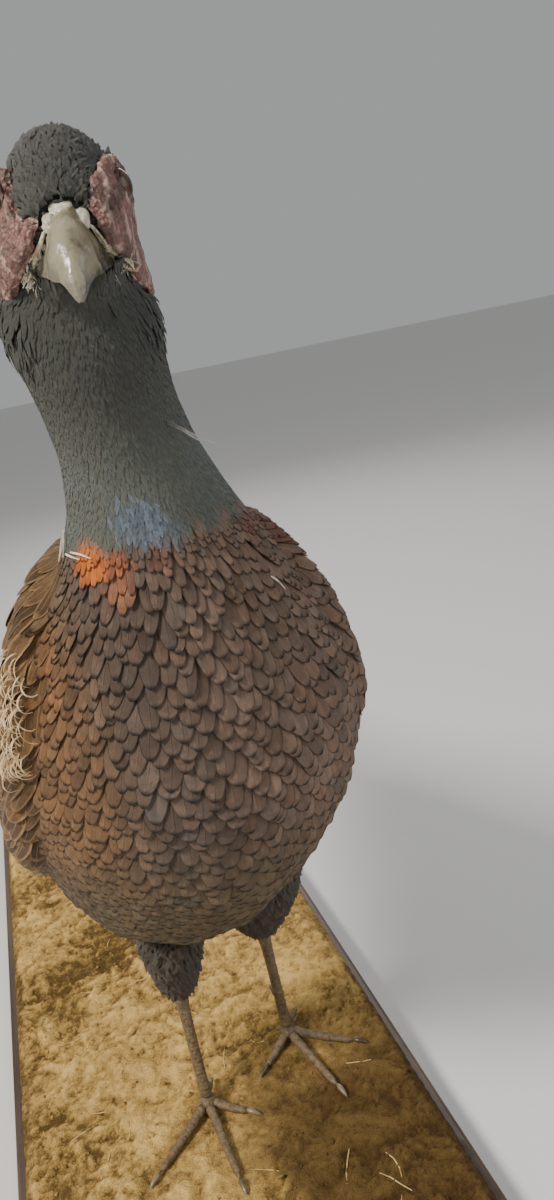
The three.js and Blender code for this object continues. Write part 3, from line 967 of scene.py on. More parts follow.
class Relief:
    """The outer surface of the flesh as a grid of places: rows run down an axis, columns round it."""

    def __init__(self, tree: BVHTree, middles: Array, left: Array, up: Array, reach: Array,
                 columns: int) -> None:
        """Feels for the surface from outside, towards the axis.

        Args:
            tree: the shape that is felt.
            middles: the middle of each row.
            left: each row's left direction.
            up: each row's up direction.
            reach: how far out each row's feelers start.
            columns: how many places each row has.
        """
        rows = len(middles)
        angles = np.arange(columns) * 2 * math.pi / columns
        found = np.empty((rows, columns))
        for i in range(rows):
            ways = np.outer(np.cos(angles), left[i]) + np.outer(np.sin(angles), up[i])
            for j in range(columns):
                way = Vector(ways[j])
                start = Vector(middles[i]) + way * float(reach[i])
                hit = tree.ray_cast(start, -way, float(reach[i]))
                found[i, j] = reach[i] - hit[3] if hit[0] is not None else np.nan
        found = np.where(np.isnan(found), MISSED_DEPTH, found)
        for _ in range(3):
            found = (found + np.roll(found, 1, 1) + np.roll(found, -1, 1)) / 3
            found[1:-1] = (found[:-2] + 2 * found[1:-1] + found[2:]) / 4
        self.rows, self.columns = rows, columns
        ring = np.cos(angles)[None, :, None] * left[:, None] + np.sin(angles)[None, :, None] * up[:, None]
        self.places = middles[:, None] + ring * found[..., None]
        down = np.gradient(self.places, axis=0)
        round_ = (np.roll(self.places, -1, 1) - np.roll(self.places, 1, 1)) / 2
        self.normals = unit(np.cross(down, round_))
        if np.sum(self.normals * ring) < 0:
            self.normals = -self.normals

    def at(self, row: Array, column: Array) -> Array:
        """The surface's places at fractional rows and columns."""
        return self.sample(self.places, row, column)

    def sample(self, grid: Array, row: Array, column: Array) -> Array:
        """Reads a grid between its rows and columns.

        Args:
            grid: values for each row and column.
            row: fractional row numbers.
            column: fractional column numbers.

        Returns:
            The values there.
        """
        row = np.clip(row, 0, self.rows - 1.001)
        i = row.astype(int)
        j = np.floor(column).astype(int)
        a, b = (row - i), (column - j)
        if grid.ndim == 3:
            a, b = a[..., None], b[..., None]
        j0, j1 = j % self.columns, (j + 1) % self.columns
        upper = grid[i, j0] * (1 - b) + grid[i, j1] * b
        lower = grid[i + 1, j0] * (1 - b) + grid[i + 1, j1] * b
        return upper * (1 - a) + lower * a

    def lattice(self, along: Array, across: Array, front: float,
                breaks: tuple[int, ...] = ()) -> tuple[Array, Array]:
        """Staggered places, so many metres apart along and across the coat.

        Args:
            along: the wanted distance between rows at each grid place.
            across: the wanted distance within a row.
            front: the angle of the column from which each row is dealt out.
            breaks: the grid rows at which the dealing starts afresh.

        Returns:
            Fractional row and column numbers of the places.
        """
        step = np.linalg.norm(np.diff(self.places, axis=0), axis=2)
        phase = np.vstack([np.zeros(self.columns), np.cumsum(step / ((along[1:] + along[:-1]) / 2), axis=0)])
        start = int(front / (2 * math.pi) * self.columns) % self.columns
        rows, columns = [], []
        edges = (0, *breaks, self.rows)
        for first, last in zip(edges, edges[1:]):
            counted = phase[first:last] - phase[first]
            numbers = np.arange(first, last)
            for k in range(0 if first else 1, int(counted.max()) + 1):
                for way in (1, -1):
                    path = start + way * np.arange(self.columns // 2 + 1)
                    at = np.array([np.interp(k + 0.3, counted[:, j], numbers, right=np.nan)
                                   for j in path % self.columns])
                    index = self._dealt(at, path, across, 0.5 * (k % 2) if way > 0 else 1 - 0.5 * (k % 2))
                    row = np.interp(index, np.arange(len(path)), at)
                    good = ~np.isnan(row)
                    rows.append(row[good])
                    columns.append(start + way * index[good])
        return np.concatenate(rows), np.concatenate(columns)

    def _dealt(self, at: Array, path: Array, across: Array, offset: float) -> Array:
        """Places one step apart along one row of the lattice.

        Args:
            at: the row's grid row in each column, or nan where it has ended.
            path: the columns it runs through.
            across: the wanted distance at each grid place.
            offset: the first place, in steps.

        Returns:
            Fractional numbers into the path.
        """
        held = np.nan_to_num(at, nan=self.rows - 1)
        places = self.at(held, path.astype(float))
        gaps = np.linalg.norm(np.diff(places, axis=0), axis=1)
        gaps[np.isnan(at[1:]) | np.isnan(at[:-1])] = 0.0
        apart = self.sample(across, held, path.astype(float))
        gone = np.concatenate([[0], np.cumsum(gaps / ((apart[1:] + apart[:-1]) / 2))])
        return np.interp(np.arange(offset, gone[-1], 1.0), gone, np.arange(len(path)))


class Tip(Enum):
    """How a feather ends: the place of its widest part and how wide its end is."""

    ROUND = (0.6, 0.3)
    SHIELD = (0.5, 0.12)
    POINTED = (0.4, 0.12)
    HAIR = (0.3, 0.15)


@dataclass(frozen=True)
class Plume:
    """One kind of feather: its size in millimetres, and how it lies."""

    along: float
    across: float
    length: float
    width: float
    rise: float
    sink: float = 1.0
    yaw: float = 5.0
    roll: float = 6.0
    vary: float = 0.1
    camber: float = 0.12
    curl: float = 0.0
    arch: float = 0.0
    thick: float = 0.28
    tip: Tip = Tip.ROUND


# what turns a plume's sizes into metres, degrees or shares
PLUME_SCALES = {**dict.fromkeys(("length", "width", "rise", "sink", "thick", "curl", "arch"), MM),
                **dict.fromkeys(("yaw", "roll", "vary", "camber"), 1.0)}


@dataclass(frozen=True)
class Vane:
    """The flat pattern of a feather: a closed thin sheet with named places."""

    across: Array
    along: Array
    under: Array
    faces: Array

    def stops(self) -> tuple[Array, Array]:
        """The shares of the length at which there are places, and each place's stop."""
        stops = np.unique(np.round(self.along, 6))
        return stops, np.searchsorted(stops, np.round(self.along, 6))

    def outline(self, tip: Tip) -> Array:
        """How wide the feather is at each place, as a share of its full width.

        Args:
            tip: how the feather ends.

        Returns:
            One share for each place.
        """
        peak, end = tip.value
        swell = np.sin(np.clip(self.along / peak, 0, 1) * math.pi / 2)
        ease = np.clip((self.along - peak) / (1 - peak), 0, 1)
        return np.where(self.along < peak, 0.35 + 0.65 * swell, np.sqrt(1 - ease**2 * (1 - end**2)))

    def flat(self) -> Array:
        """Each place on the feather's own map."""
        return np.stack([(self.across + 1) / 2, self.along], 1)

    @staticmethod
    def cut(columns: int, rows: int) -> "Vane":
        """Makes the pattern from a grid given some thickness.

        Args:
            columns: faces across.
            rows: faces along, closer together towards the tip.

        Returns:
            The pattern.
        """
        made = bmesh.new()
        bmesh.ops.create_grid(made, x_segments=columns, y_segments=rows, size=1)
        bmesh.ops.solidify(made, geom=made.faces[:], thickness=1)
        bmesh.ops.recalc_face_normals(made, faces=made.faces)
        places = np.array([v.co for v in made.verts])
        faces = np.array([[v.index for v in f.verts] for f in made.faces])
        made.free()
        under = np.abs(places[:, 2] - places[:, 2].max())
        return Vane(places[:, 0], 1 - (1 - (places[:, 1] + 1) / 2) ** 1.35, under, faces)


@dataclass
class Coat:
    """Feathers of one part of the body, dealt out over a relief of its surface."""

    name: str
    relief: Relief
    vane: Vane
    finish: Material
    slot: str
    seed: int

    def grow(self, rows: Array, columns: Array, plume: dict[str, Array], dye: Array, trim: Array,
             tip: Tip) -> Object:
        """Grows one feather at each place.

        Args:
            rows: fractional row numbers of the roots.
            columns: fractional column numbers of the roots.
            plume: the feathers' sizes and lie, one value for each.
            dye: the colour of each vane.
            trim: the colour of each rim.
            tip: how the feathers end.

        Returns:
            The coat's mesh piece.
        """
        dice = np.random.default_rng(self.seed)
        count = len(rows)

        def spread(scale: float | Array) -> Array:
            """Chance differences of about one scale, one for each feather."""
            return dice.normal(0, 1, count).clip(-2, 2) * scale

        length = plume["length"] * (1 + spread(plume["vary"]))
        width = plume["width"] * (1 + spread(plume["vary"])) / 2
        yaw = np.radians(spread(plume["yaw"]))
        roll = np.radians(spread(plume["roll"]))
        rise = plume["rise"] * (1 + spread(0.25))
        curl = plume["curl"] * (1 + spread(0.3))
        arch = plume["arch"] * (1 + spread(0.4))
        stops, which = self.vane.stops()
        relief, last = self.relief, self.relief.rows - 1.01
        root = relief.at(rows, columns)
        per_row = np.maximum(np.linalg.norm(relief.at(rows + 1, columns) - root, axis=1), SMALLEST_STEP)
        per_column = np.maximum(np.linalg.norm(relief.at(rows, columns + 1) - root, axis=1), 0.1 * MM)
        spine, out = [], []
        for share in stops:
            row = rows + share * length * np.cos(yaw) / per_row
            column = columns + share * length * np.sin(yaw) / per_column
            beyond = np.maximum(row - last, 0) * per_row
            tail = relief.at(np.full(count, last), column)
            before = relief.at(np.full(count, relief.rows - 3.0), column)
            spine.append(relief.at(row, column) + unit(tail - before) * beyond[:, None])
            out.append(unit(relief.sample(relief.normals, row, column)))
        spine, out = np.stack(spine, 1), np.stack(out, 1)
        lay = unit(np.gradient(spine, axis=1))
        side = unit(np.cross(lay, out))
        side = unit(side * np.cos(roll)[:, None, None] + out * np.sin(roll)[:, None, None])
        lift = (-plume["sink"][:, None] + (plume["sink"] + rise)[:, None] * stops[None] ** 0.9
                + curl[:, None] * stops[None] ** 3 + arch[:, None] * np.sin(stops[None] * math.pi * 0.9))
        across = self.vane.across * self.vane.outline(tip)
        drop = plume["camber"][:, None] * width[:, None] * across[None] ** 2
        height = lift[:, which] - drop - plume["thick"][:, None] * self.vane.under[None]
        points = (spine[:, which] + side[:, which] * (across[None] * width[:, None])[..., None]
                  + out[:, which] * height[..., None])
        return self._mesh(points, rows, columns, dye, trim)

    def _mesh(self, points: Array, rows: Array, columns: Array, dye: Array, trim: Array) -> Object:
        """Joins all feathers into one mesh with its colours and maps.

        Args:
            points: every corner of every feather.
            rows: the roots' row numbers.
            columns: the roots' column numbers.
            dye: the colour of each vane.
            trim: the colour of each rim.

        Returns:
            The piece.
        """
        count, corners = points.shape[:2]
        faces = (self.vane.faces[None] + (np.arange(count) * corners)[:, None, None]).reshape(-1, 4)
        mesh = bpy.data.meshes.new(self.name)
        mesh.vertices.add(count * corners)
        mesh.vertices.foreach_set("co", points.astype(np.float32).ravel())
        mesh.loops.add(faces.size)
        mesh.loops.foreach_set("vertex_index", faces.astype(np.int32).ravel())
        mesh.polygons.add(len(faces))
        mesh.polygons.foreach_set("loop_start", np.arange(0, faces.size, 4, dtype=np.int32))
        mesh.update(calc_edges=True)
        set_colours(mesh, "dye", np.repeat(dye, corners, axis=0))
        set_colours(mesh, "trim", np.repeat(trim, corners, axis=0))
        flat = self.vane.flat()
        set_map(mesh, "vane", np.tile(flat, (count, 1)))
        wrapped = columns % self.relief.columns
        home = np.stack([self._share(wrapped), self._share(rows)], 1) * 0.98 + 0.01
        set_map(mesh, "OFBake", (home[:, None] + (flat - 0.5)[None] * BAKE_PATCH).reshape(-1, 2))
        return settle(link(self.name, mesh, self.finish, sharp=50), self.slot)

    @staticmethod
    def _share(values: Array) -> Array:
        """Values as shares of their range."""
        return (values - values.min()) / max(float(np.ptp(values)), 1e-9)


class Zone(Enum):
    """The parts of the coat that have their own kind of feather."""

    CROWN = 0
    FACE = 1
    NECK = 2
    BREAST = 3
    BELLY = 4
    SHOULDER = 5
    WING = 6
    BACK = 7
    RUMP = 8


CHEST = (Zone.BREAST.value, Zone.BELLY.value)
PLUMES = {
    Zone.CROWN: Plume(0.75, 0.68, 2.8, 0.95, 0.45, sink=0.3, yaw=26, roll=10, vary=0.25, thick=0.1,
                      arch=0.15),
    Zone.FACE: Plume(0.9, 0.8, 2.4, 0.85, 0.3, sink=0.3, yaw=16, roll=14, thick=0.1, arch=0.2),
    Zone.NECK: Plume(1.8, 1.5, 6.4, 1.9, 0.0, sink=0.35, yaw=4, roll=3, vary=0.1, camber=0.2, thick=0.08),
    Zone.BREAST: Plume(6.2, 8.0, 17.0, 9.8, 0.9, sink=2.2, yaw=4, roll=3, vary=0.08, camber=0.16,
                       thick=0.13),
    Zone.BELLY: Plume(4.3, 8.2, 17.0, 10.6, 0.9, sink=2.2, yaw=5, roll=4, vary=0.1, camber=0.14, thick=0.13),
    Zone.SHOULDER: Plume(9.0, 5.6, 27.0, 8.6, 2.2, sink=0.8, yaw=8, roll=10, vary=0.18, thick=0.2),
    Zone.WING: Plume(8.0, 8.4, 30.0, 11.5, 1.0, sink=2.4, yaw=5, roll=6, vary=0.1, thick=0.2),
    Zone.BACK: Plume(6.4, 6.6, 24.0, 9.0, 1.0, sink=2.8, yaw=5, roll=6, vary=0.1, thick=0.2),
    Zone.RUMP: Plume(8.0, 5.6, 40.0, 6.5, 1.0, sink=2.8, yaw=5, roll=8, vary=0.15),
}


@dataclass(frozen=True)
class Share:
    """One piece of a coat: its name, zones, feather pattern, finish, slot and feather tips."""

    name: str
    zones: tuple[Zone, ...]
    vane: tuple[int, int]
    finish: str
    slot: str
    tip: Tip
    above: float = 0.0
    below: float = 1000.0


@dataclass
class Plumage:
    """The coat of head, neck, trunk and folded wings."""

    flesh: Flesh
    head: Matrix
    bald: list[tuple[BVHTree, float]]
    body_axis: Axis = Axis((
        Station(168, -6, 470, 62, 46), Station(160, -6, 452, 62, 42), Station(150, -6, 430, 61, 40),
        Station(140, -3, 404, 60, 42), Station(130, 2, 381, 64, 44), Station(121, 6, 357, 64, 60),
        Station(112, 6, 326, 52, 95), Station(100, 4, 290, 38), Station(80, 2, 262, 26),
        Station(55, 0, 246, 17), Station(18, -4, 238, 11), Station(-33, -4, 234, 10),
        Station(-86, 0, 236, 12), Station(-130, 3, 240, 11), Station(-180, 3, 234, 11),
        Station(-224, 3, 226, 11),
    ))
    names: tuple[str, ...] = ("trunk", "neck", "head", "wing_left", "wing_right", "tail_coverts_upper",
                              "tail_coverts_under", *(f"tail_feather_{rank}_{side}" for rank in (1, 3, 5, 6)
                                                      for side in ("right", "left")))
    head_shares: tuple[Share, ...] = (
        Share("coat_crown", (Zone.CROWN,), (2, 5), "fluff", "head_feathers", Tip.POINTED),
        Share("coat_face", (Zone.FACE,), (2, 3), "fluff", "head_feathers", Tip.POINTED),
    )
    body_shares: tuple[Share, ...] = (
        Share("coat_neck_upper", (Zone.NECK,), (2, 3), "velvet", "neck_feathers", Tip.POINTED,
              above=NECK_SPLIT),
        Share("coat_neck_lower", (Zone.NECK,), (2, 3), "velvet", "neck_feathers", Tip.POINTED,
              below=NECK_SPLIT),
        Share("coat_breast", (Zone.BREAST,), (4, 7), "scaled", "body_feathers", Tip.SHIELD),
        Share("coat_belly", (Zone.BELLY,), (4, 5), "scaled", "body_feathers", Tip.SHIELD),
        Share("coat_shoulders", (Zone.SHOULDER,), (4, 7), "streaked", "wing_feathers", Tip.POINTED),
        Share("coat_wings", (Zone.WING,), (4, 6), "streaked", "wing_feathers", Tip.ROUND),
        Share("coat_back", (Zone.BACK,), (4, 7), "streaked", "body_feathers", Tip.ROUND),
        Share("coat_rump", (Zone.RUMP,), (4, 7), "plain", "body_feathers", Tip.POINTED),
    )
    breaks: tuple[int, ...] = (158, 192, 226, 256)
    belly_line: float = 238
    shoulder_line: float = 62
    # where the painted blue glints on the lower neck lie, and how far they spread, in millimetres
    glint_at: tuple[float, float, float] = (-4, -147, 364)
    glint_radius: float = 10
    hull: BVHTree = field(init=False)
    trees: dict[str, BVHTree] = field(init=False)

    def build(self) -> None:
        """Feels the surface and grows the coat of the head, then that of the body."""
        self.trees = {name: self._tree(name) for name in ("wing_left", "wing_right")}
        shape = self.flesh.hull(list(self.names), 2.0 * MM)
        self.hull = BVHTree.FromBMesh(shape)
        finishes = self._finishes()
        body = Relief(self.hull, *self.body_axis.sections(300), 300)
        head = Relief(self.hull, *self._head_sections(110), 200)
        shape.free()
        self._grow(head, self.head_shares, math.pi / 2, finishes, 11)
        self._grow(body, self.body_shares, -math.pi / 2, finishes, 21, self.breaks)

    @staticmethod
    def _tree(name: str) -> BVHTree:
        """A node's surface, for finding what is near it.

        Args:
            name: the node.

        Returns:
            The surface.
        """
        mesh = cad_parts[name].data
        corners = [v.co.copy() for v in mesh.vertices]
        return BVHTree.FromPolygons(corners, [tuple(p.vertices) for p in mesh.polygons])

    def _head_sections(self, rows: int) -> tuple[Array, Array, Array, Array]:
        """Sections square to the head, from the bill's root back to the nape.

        Args:
            rows: how many there are.

        Returns:
            Their middles, left and up directions and reaches.
        """
        middles = np.array([self.head @ (Vector((0, -a, -2)) * MM) for a in np.linspace(15, -29, rows)])
        turned = self.head.to_3x3()
        left, up = (np.tile(np.array(turned @ Vector(way)), (rows, 1)) for way in ((1, 0, 0), (0, 0, 1)))
        return middles, left, up, np.full(rows, 34 * MM)

    def _zones(self, relief: Relief) -> Array:
        """Sorts the coat into zones.

        Args:
            relief: the surface.

        Returns:
            The zone's number at every grid place.
        """
        left, ahead, height = bird_places(relief.places)
        zones = np.full(height.shape, Zone.BREAST.value)
        wings = self._wing_mask(relief)
        zones[height < self.belly_line] = Zone.BELLY.value
        zones[(ahead < 88) & (relief.normals[..., 2] > 0.35) & ~wings] = Zone.BACK.value
        zones[wings] = Zone.WING.value
        zones[wings & (ahead > self.shoulder_line)] = Zone.SHOULDER.value
        seam = 50 + 0.14 * (height - 300) + 4 * np.sin(height * 0.16)
        zones[wings & (ahead > seam) & (left > 0)] = Zone.BREAST.value
        zones[(ahead < -58) & (np.abs(left - 3) < 32) & (height > self.belly_line)] = Zone.RUMP.value
        zones[ahead < -92] = Zone.RUMP.value
        patch = np.interp(height, (250, 257, 275, 292, 307, 324, 338, 348, NECK_LINE),
                          (90, 94, 99, 104, 107, 109, 110, 113, 118))
        on_patch = (left < -12) & (ahead < patch) & (ahead > self.shoulder_line)
        zones[on_patch & (height > 250) & (height < NECK_LINE)] = Zone.SHOULDER.value
        zones[height > NECK_LINE] = Zone.NECK.value
        own = self._own(relief.places)
        side, forward, over = own[..., 0], -own[..., 1], own[..., 2]
        zones[(over > -8) & (forward > -16)] = Zone.FACE.value
        zones[(over > 2) & (forward > -19) & (np.abs(side) < 12.5)] = Zone.CROWN.value
        zones[(over > -1) & (forward <= -12) & (forward > -19)] = Zone.CROWN.value
        return zones

    def _wing_mask(self, relief: Relief) -> Array:
        """Where the outermost flesh is a wing.

        Args:
            relief: the surface.

        Returns:
            Whether each grid place is on a wing.
        """
        mask = np.zeros((relief.rows, relief.columns), bool)
        lowest, highest = bird_point(0, 0, 190).z, bird_point(0, 0, 362).z
        height = relief.places[..., 2]
        for i, j in zip(*np.nonzero((height > lowest) & (height < highest))):
            place = Vector(relief.places[i, j])
            mask[i, j] = any(self.trees[f"wing_{side}"].find_nearest(place, 2.2 * MM)[0] for side in SIDES)
        return mask

    def _field(self, relief: Relief, zones: Array, key: str, rounds: int = 6) -> Array:
        """One size of the plumes over the whole grid, blended between zones.

        Args:
            relief: the surface.
            zones: the zone's number at every grid place.
            key: the size's name.
            rounds: how often it is blended with its neighbours.

        Returns:
            The size at every grid place.
        """
        values = np.array([getattr(PLUMES[zone], key) for zone in Zone], float)[zones]
        height = (relief.places[..., 2] - FEET_MIDDLE.z) / MM
        chest = np.isin(zones, CHEST)
        if key in ("across", "width"):
            flank = (relief.places[..., 0] - FEET_MIDDLE.x) / MM
            values[chest] *= np.interp(height, (235, 285, 318, 345, NECK_LINE),
                                       (1.0, 1.0, 0.84, 0.58, 0.5))[chest]
            values[chest] *= np.interp(flank, (-50, -30, -8, 40), (0.66, 0.72, 1.0, 0.95))[chest]
        if key in ("along", "length"):
            values[chest] *= np.interp(height, (235, 285, 330, NECK_LINE), (0.86, 1.0, 1.0, 0.75))[chest]
        for _ in range(rounds):
            values = (values + np.roll(values, 1, 1) + np.roll(values, -1, 1)) / 3
            values[1:-1] = (values[:-2] + values[1:-1] + values[2:]) / 3
        return values

    def _grow(self, relief: Relief, shares: tuple[Share, ...], front: float, finishes: dict, seed: int,
              breaks: tuple[int, ...] = ()) -> None:
        """Deals out the feathers of one relief and makes its pieces.

        Args:
            relief: the surface.
            shares: the pieces.
            front: the angle from which the rows are dealt out.
            finishes: the materials by name.
            seed: the first piece's seed.
            breaks: the grid rows at which the dealing starts afresh.
        """
        zones = self._zones(relief)
        along, across = (self._field(relief, zones, key) * MM for key in ("along", "across"))
        rows, columns = relief.lattice(along, across, front, breaks)
        sizes = {key: relief.sample(self._field(relief, zones, key), rows, columns) * scale
                 for key, scale in PLUME_SCALES.items()}
        roots = relief.at(rows, columns)
        clumps = np.array([noise.noise(Vector(root) * 260) for root in roots])
        sizes["rise"] = sizes["rise"] + sizes["arch"] * clumps * 5
        ruff = self._ruff(roots)
        sizes["arch"] = sizes["arch"] + ruff * (1.3 + 1.0 * clumps) * MM
        sizes["rise"] = sizes["rise"] + ruff * (1.4 + 2.0 * clumps) * MM
        sizes["yaw"] = sizes["yaw"] + ruff * 30
        per_row = np.linalg.norm(relief.at(rows + 1, columns) - roots, axis=1)
        past = sizes["length"] - relief.sample(along, rows, columns) / 2
        past = past / np.maximum(per_row, SMALLEST_STEP)
        places = relief.at(rows + past, columns)
        zone = zones[np.clip(np.round(rows + past).astype(int), 0, relief.rows - 1),
                     np.round(columns).astype(int) % relief.columns]
        free = ~self._bare(roots)
        dye, trim = self._dyes(zone, places)
        height = (places[:, 2] - FEET_MIDDLE.z) / MM
        for number, share in enumerate(shares):
            chosen = np.isin(zone, [z.value for z in share.zones]) & free
            chosen &= (height >= share.above) & (height < share.below)
            coat = Coat(share.name, relief, Vane.cut(*share.vane), finishes[share.finish], share.slot,
                        seed + number)
            coat.grow(rows[chosen], columns[chosen], {k: v[chosen] for k, v in sizes.items()}, dye[chosen],
                      trim[chosen], share.tip)

    def _own(self, places: Array) -> Array:
        """Places in the head's own frame, in millimetres: left, back and up."""
        return (places - np.array(self.head.translation)) @ np.array(self.head.to_3x3()) / MM

    def _ruff(self, places: Array) -> Array:
        """The puffed ruff behind and below the wattles.

        Args:
            places: the feathers' roots.

        Returns:
            How much of the ruff is at each, 0 to 1.
        """
        own = self._own(places)
        level = smoothstep(-33, -27, own[:, 2]) * smoothstep(-14, -19, own[:, 2])
        return level * smoothstep(10, 17, np.abs(own[:, 0])) * smoothstep(16, 8, -own[:, 1]) * 0.55

    @staticmethod
    def _finishes() -> dict[str, Material]:
        """Builds the feathers' materials.

        Returns:
            The materials by name.
        """
        kinds = {
            "fluff": FeatherFinish("crown_feathers", rim_amount=0.2, mottle=0.22, roughness=0.75, sheen=0.2),
            "velvet": FeatherFinish("neck_feathers", rim=0.8, rim_amount=0.35, mottle=0.12, roughness=0.5,
                                    sheen=0.1),
            # full-strength dark rims: partly the feathers' own edging, partly painted shade of the gaps
            # between rows
            "scaled": FeatherFinish("breast_feathers", rim=0.82, rim_amount=1.0, mottle=0.3, sheen=0.03,
                                    gloss=0.2),
            "streaked": FeatherFinish("mantle_feathers", rim=0.66, rim_amount=0.85, shaft=0.6, mottle=0.45,
                                      sheen=0.03, gloss=0.25),
            "plain": FeatherFinish("rump_feathers", rim=0.6, rim_amount=0.5, mottle=0.35),
        }
        return {key: kind.material() for key, kind in kinds.items()}

    def _bare(self, places: Array) -> Array:
        """Where no feather grows: on the wattles, round the eyes and on the bill.

        Args:
            places: the feathers' roots.

        Returns:
            Whether each is bare.
        """
        bare = np.zeros(len(places), bool)
        for k in np.nonzero(places[:, 2] > bird_point(0, 0, 405).z)[0]:
            place = Vector(places[k])
            bare[k] = any(tree.find_nearest(place, reach)[0] for tree, reach in self.bald)
        return bare

    def _dyes(self, zone: Array, places: Array) -> tuple[Array, Array]:
        """The colours of each feather.

        Args:
            zone: the feathers' zone numbers.
            places: where their seen parts lie.

        Returns:
            The vanes' colours and the rims' colours.
        """
        dice = np.random.default_rng(5)
        base = MARKINGS.colours(places)
        wing = np.isin(zone, [Zone.WING.value, Zone.SHOULDER.value])
        base[wing] = blend(base[wing], MARKINGS.wing, np.full(wing.sum(), 0.85))
        spread = np.where(zone == Zone.NECK.value, 0.05, 0.13)
        shade = 1 + dice.normal(0, 1, len(zone)).clip(-2.2, 2.2) * spread
        warm = dice.normal(0, 0.035, len(zone))[:, None] * np.array([1.0, 0.0, -0.9])
        dye = base * shade[:, None] * (1 + warm)
        # Chest rims are near black: partly their own edging, partly painted shade of the gaps under the next
        # row.
        trim = dye * np.where(np.isin(zone, CHEST), 0.13, 0.4)[:, None]
        local = (places - np.array(FEET_MIDDLE)) / MM
        # Some neck feathers there get pale blue rims and bluer vanes: painted glints of the neck's iridescent
        # sheen.
        glinting = np.linalg.norm(local - np.array(self.glint_at), axis=1) < self.glint_radius
        glinting &= (zone == Zone.NECK.value) & (dice.random(len(zone)) < 0.3)
        trim[glinting] = np.array(tone(166, 176, 192))
        dye[glinting] = blend(dye[glinting], tone(150, 164, 186), np.full(glinting.sum(), 0.35))
        pale = np.array(tone(190, 162, 126))
        dark = np.array(tone(74, 58, 42))
        behind = smoothstep(60, 10, -local[wing, 1])
        rust = np.clip(dice.normal(0.35, 0.3, wing.sum()), 0, 0.9) * behind
        trim[wing] = blend(np.tile(pale, (wing.sum(), 1)), tone(146, 92, 56), rust) * shade[wing, None]
        dye[wing] = blend(dye[wing], dark, np.where(dice.random(wing.sum()) < 0.5, 0.65, 0.15))
        shoulder = zone == Zone.SHOULDER.value
        dye[shoulder] *= np.array((0.85, 0.75, 0.62))
        trim[shoulder] *= np.array((0.85, 0.72, 0.58))
        back = zone == Zone.BACK.value
        trim[back] = np.array(tone(150, 92, 52)) * shade[back, None]
        dye[back] = blend(dye[back], dark, np.full(back.sum(), 0.4))
        return dye, trim


@dataclass
class LooseFeathers:
    """Single feathers that stand out of the coat: white flecks, curled coverts and a stray filament."""

    surface: BVHTree
    curls: int = 95
    flecks: tuple = (
        ((122, -28, 366), (122, -27.5, 361), (121, -27, 356)),
        ((120, -30, 364), (119, -30, 359), (117, -30.5, 355)),
        ((123, -26, 357.5), (126, -22.5, 356.5), (129, -19, 355.5)),
        ((126, -23, 358), (130, -19.5, 357.5), (133, -16, 356)),
        ((134, 36, 335), (132.5, 39, 332), (131, 41.5, 328)),
    )

    def build(self) -> None:
        """Makes the loose feathers."""
        white = HornFinish("white_flecks", tone(214, 206, 194), tone(164, 154, 140), 200, 0.7, 0.0).material()
        self._piece("white_flecks", [(self._laid(path, 0.9), 0.4) for path in self.flecks], white)
        cream = HornFinish("curled_coverts", tone(238, 210, 166), tone(172, 138, 98), 220, 0.7, 0.0)
        self._piece("curled_coverts", self._curled(), cream.material())
        slate = HornFinish("stray_filament", tone(168, 164, 156), tone(58, 62, 60), 60, 0.7, 0.0).material()
        stray = [([bird_point(*p) for p in path], thick) for path, thick in (
            (((148, 9, 396), (151, 13.5, 392), (151.5, 18, 388.3), (151, 24.5, 384)), 0.5),
            (((148, 9, 394.5), (151.5, 14, 391), (152, 19, 386.6), (151, 23, 384.8)), 0.3))]
        self._piece("stray_filament", stray, slate)

    def _curled(self) -> list[tuple]:
        """The small curled coverts at the front edge of the right wing.

        Returns:
            Each one's path and thickness.
        """
        dice = np.random.default_rng(83)
        curls = []
        for _ in range(self.curls):
            root = np.array([dice.uniform(97, 109), 0, dice.uniform(284, 326)])
            root[1] = -48 - (324 - root[2]) * 0.3 - (110 - root[0]) * 0.5
            start = self._laid((tuple(root),), 0.8)[0]
            wide, tall = dice.uniform(2.4, 5.2) * MM, dice.uniform(3.4, 6.4) * MM
            lean, turn = math.radians(dice.uniform(-40, 35)), math.radians(dice.uniform(110, 240))
            drift = dice.normal(0, 1.2) * MM
            path = []
            for share in np.linspace(0, 1, 6):
                out, down = wide * math.sin(turn * share), tall * (1 - math.cos(turn * share))
                aside = -out * math.cos(lean) + down * math.sin(lean)
                fall = -down * math.cos(lean) - out * math.sin(lean)
                path.append(start + Vector((aside, drift * share - out * 0.4, fall)))
            curls.append((path, dice.uniform(0.18, 0.36)))
        return curls

    def _laid(self, path: tuple, lift: float) -> list[Vector]:
        """Lays a path on the coat.

        Args:
            path: places in millimetres ahead, left and up from the feet.
            lift: how far over the surface it lies, in millimetres.

        Returns:
            The laid path.
        """
        laid = []
        for place in path:
            spot, normal, _, _ = self.surface.find_nearest(bird_point(*place))
            laid.append(spot + normal * lift * MM)
        return laid

    def _piece(self, name: str, strands: list, finish: Material) -> None:
        """Joins flattened tapering strands into one piece.

        Args:
            name: the piece's name.
            strands: each strand's path and thickness in millimetres.
            finish: the material.
        """
        tufts = []
        for path, thick in strands:
            curve = [Vector(p) for p in smooth_curve(np.array([list(p) for p in path]), 16)]
            taper = [thick * MM * (0.5 + 0.5 * math.sin(math.pi * min(1.0, 0.2 + t / 15))) for t in range(16)]
            taper[-1] *= 0.4
            tufts.append(loft(along_path(curve, taper, Vector((-0.3, -1, 0.2)), 0.5), 6))
        settle(link(name, join_tufts(name, tufts), finish), "body_feathers")


# ---- thighs


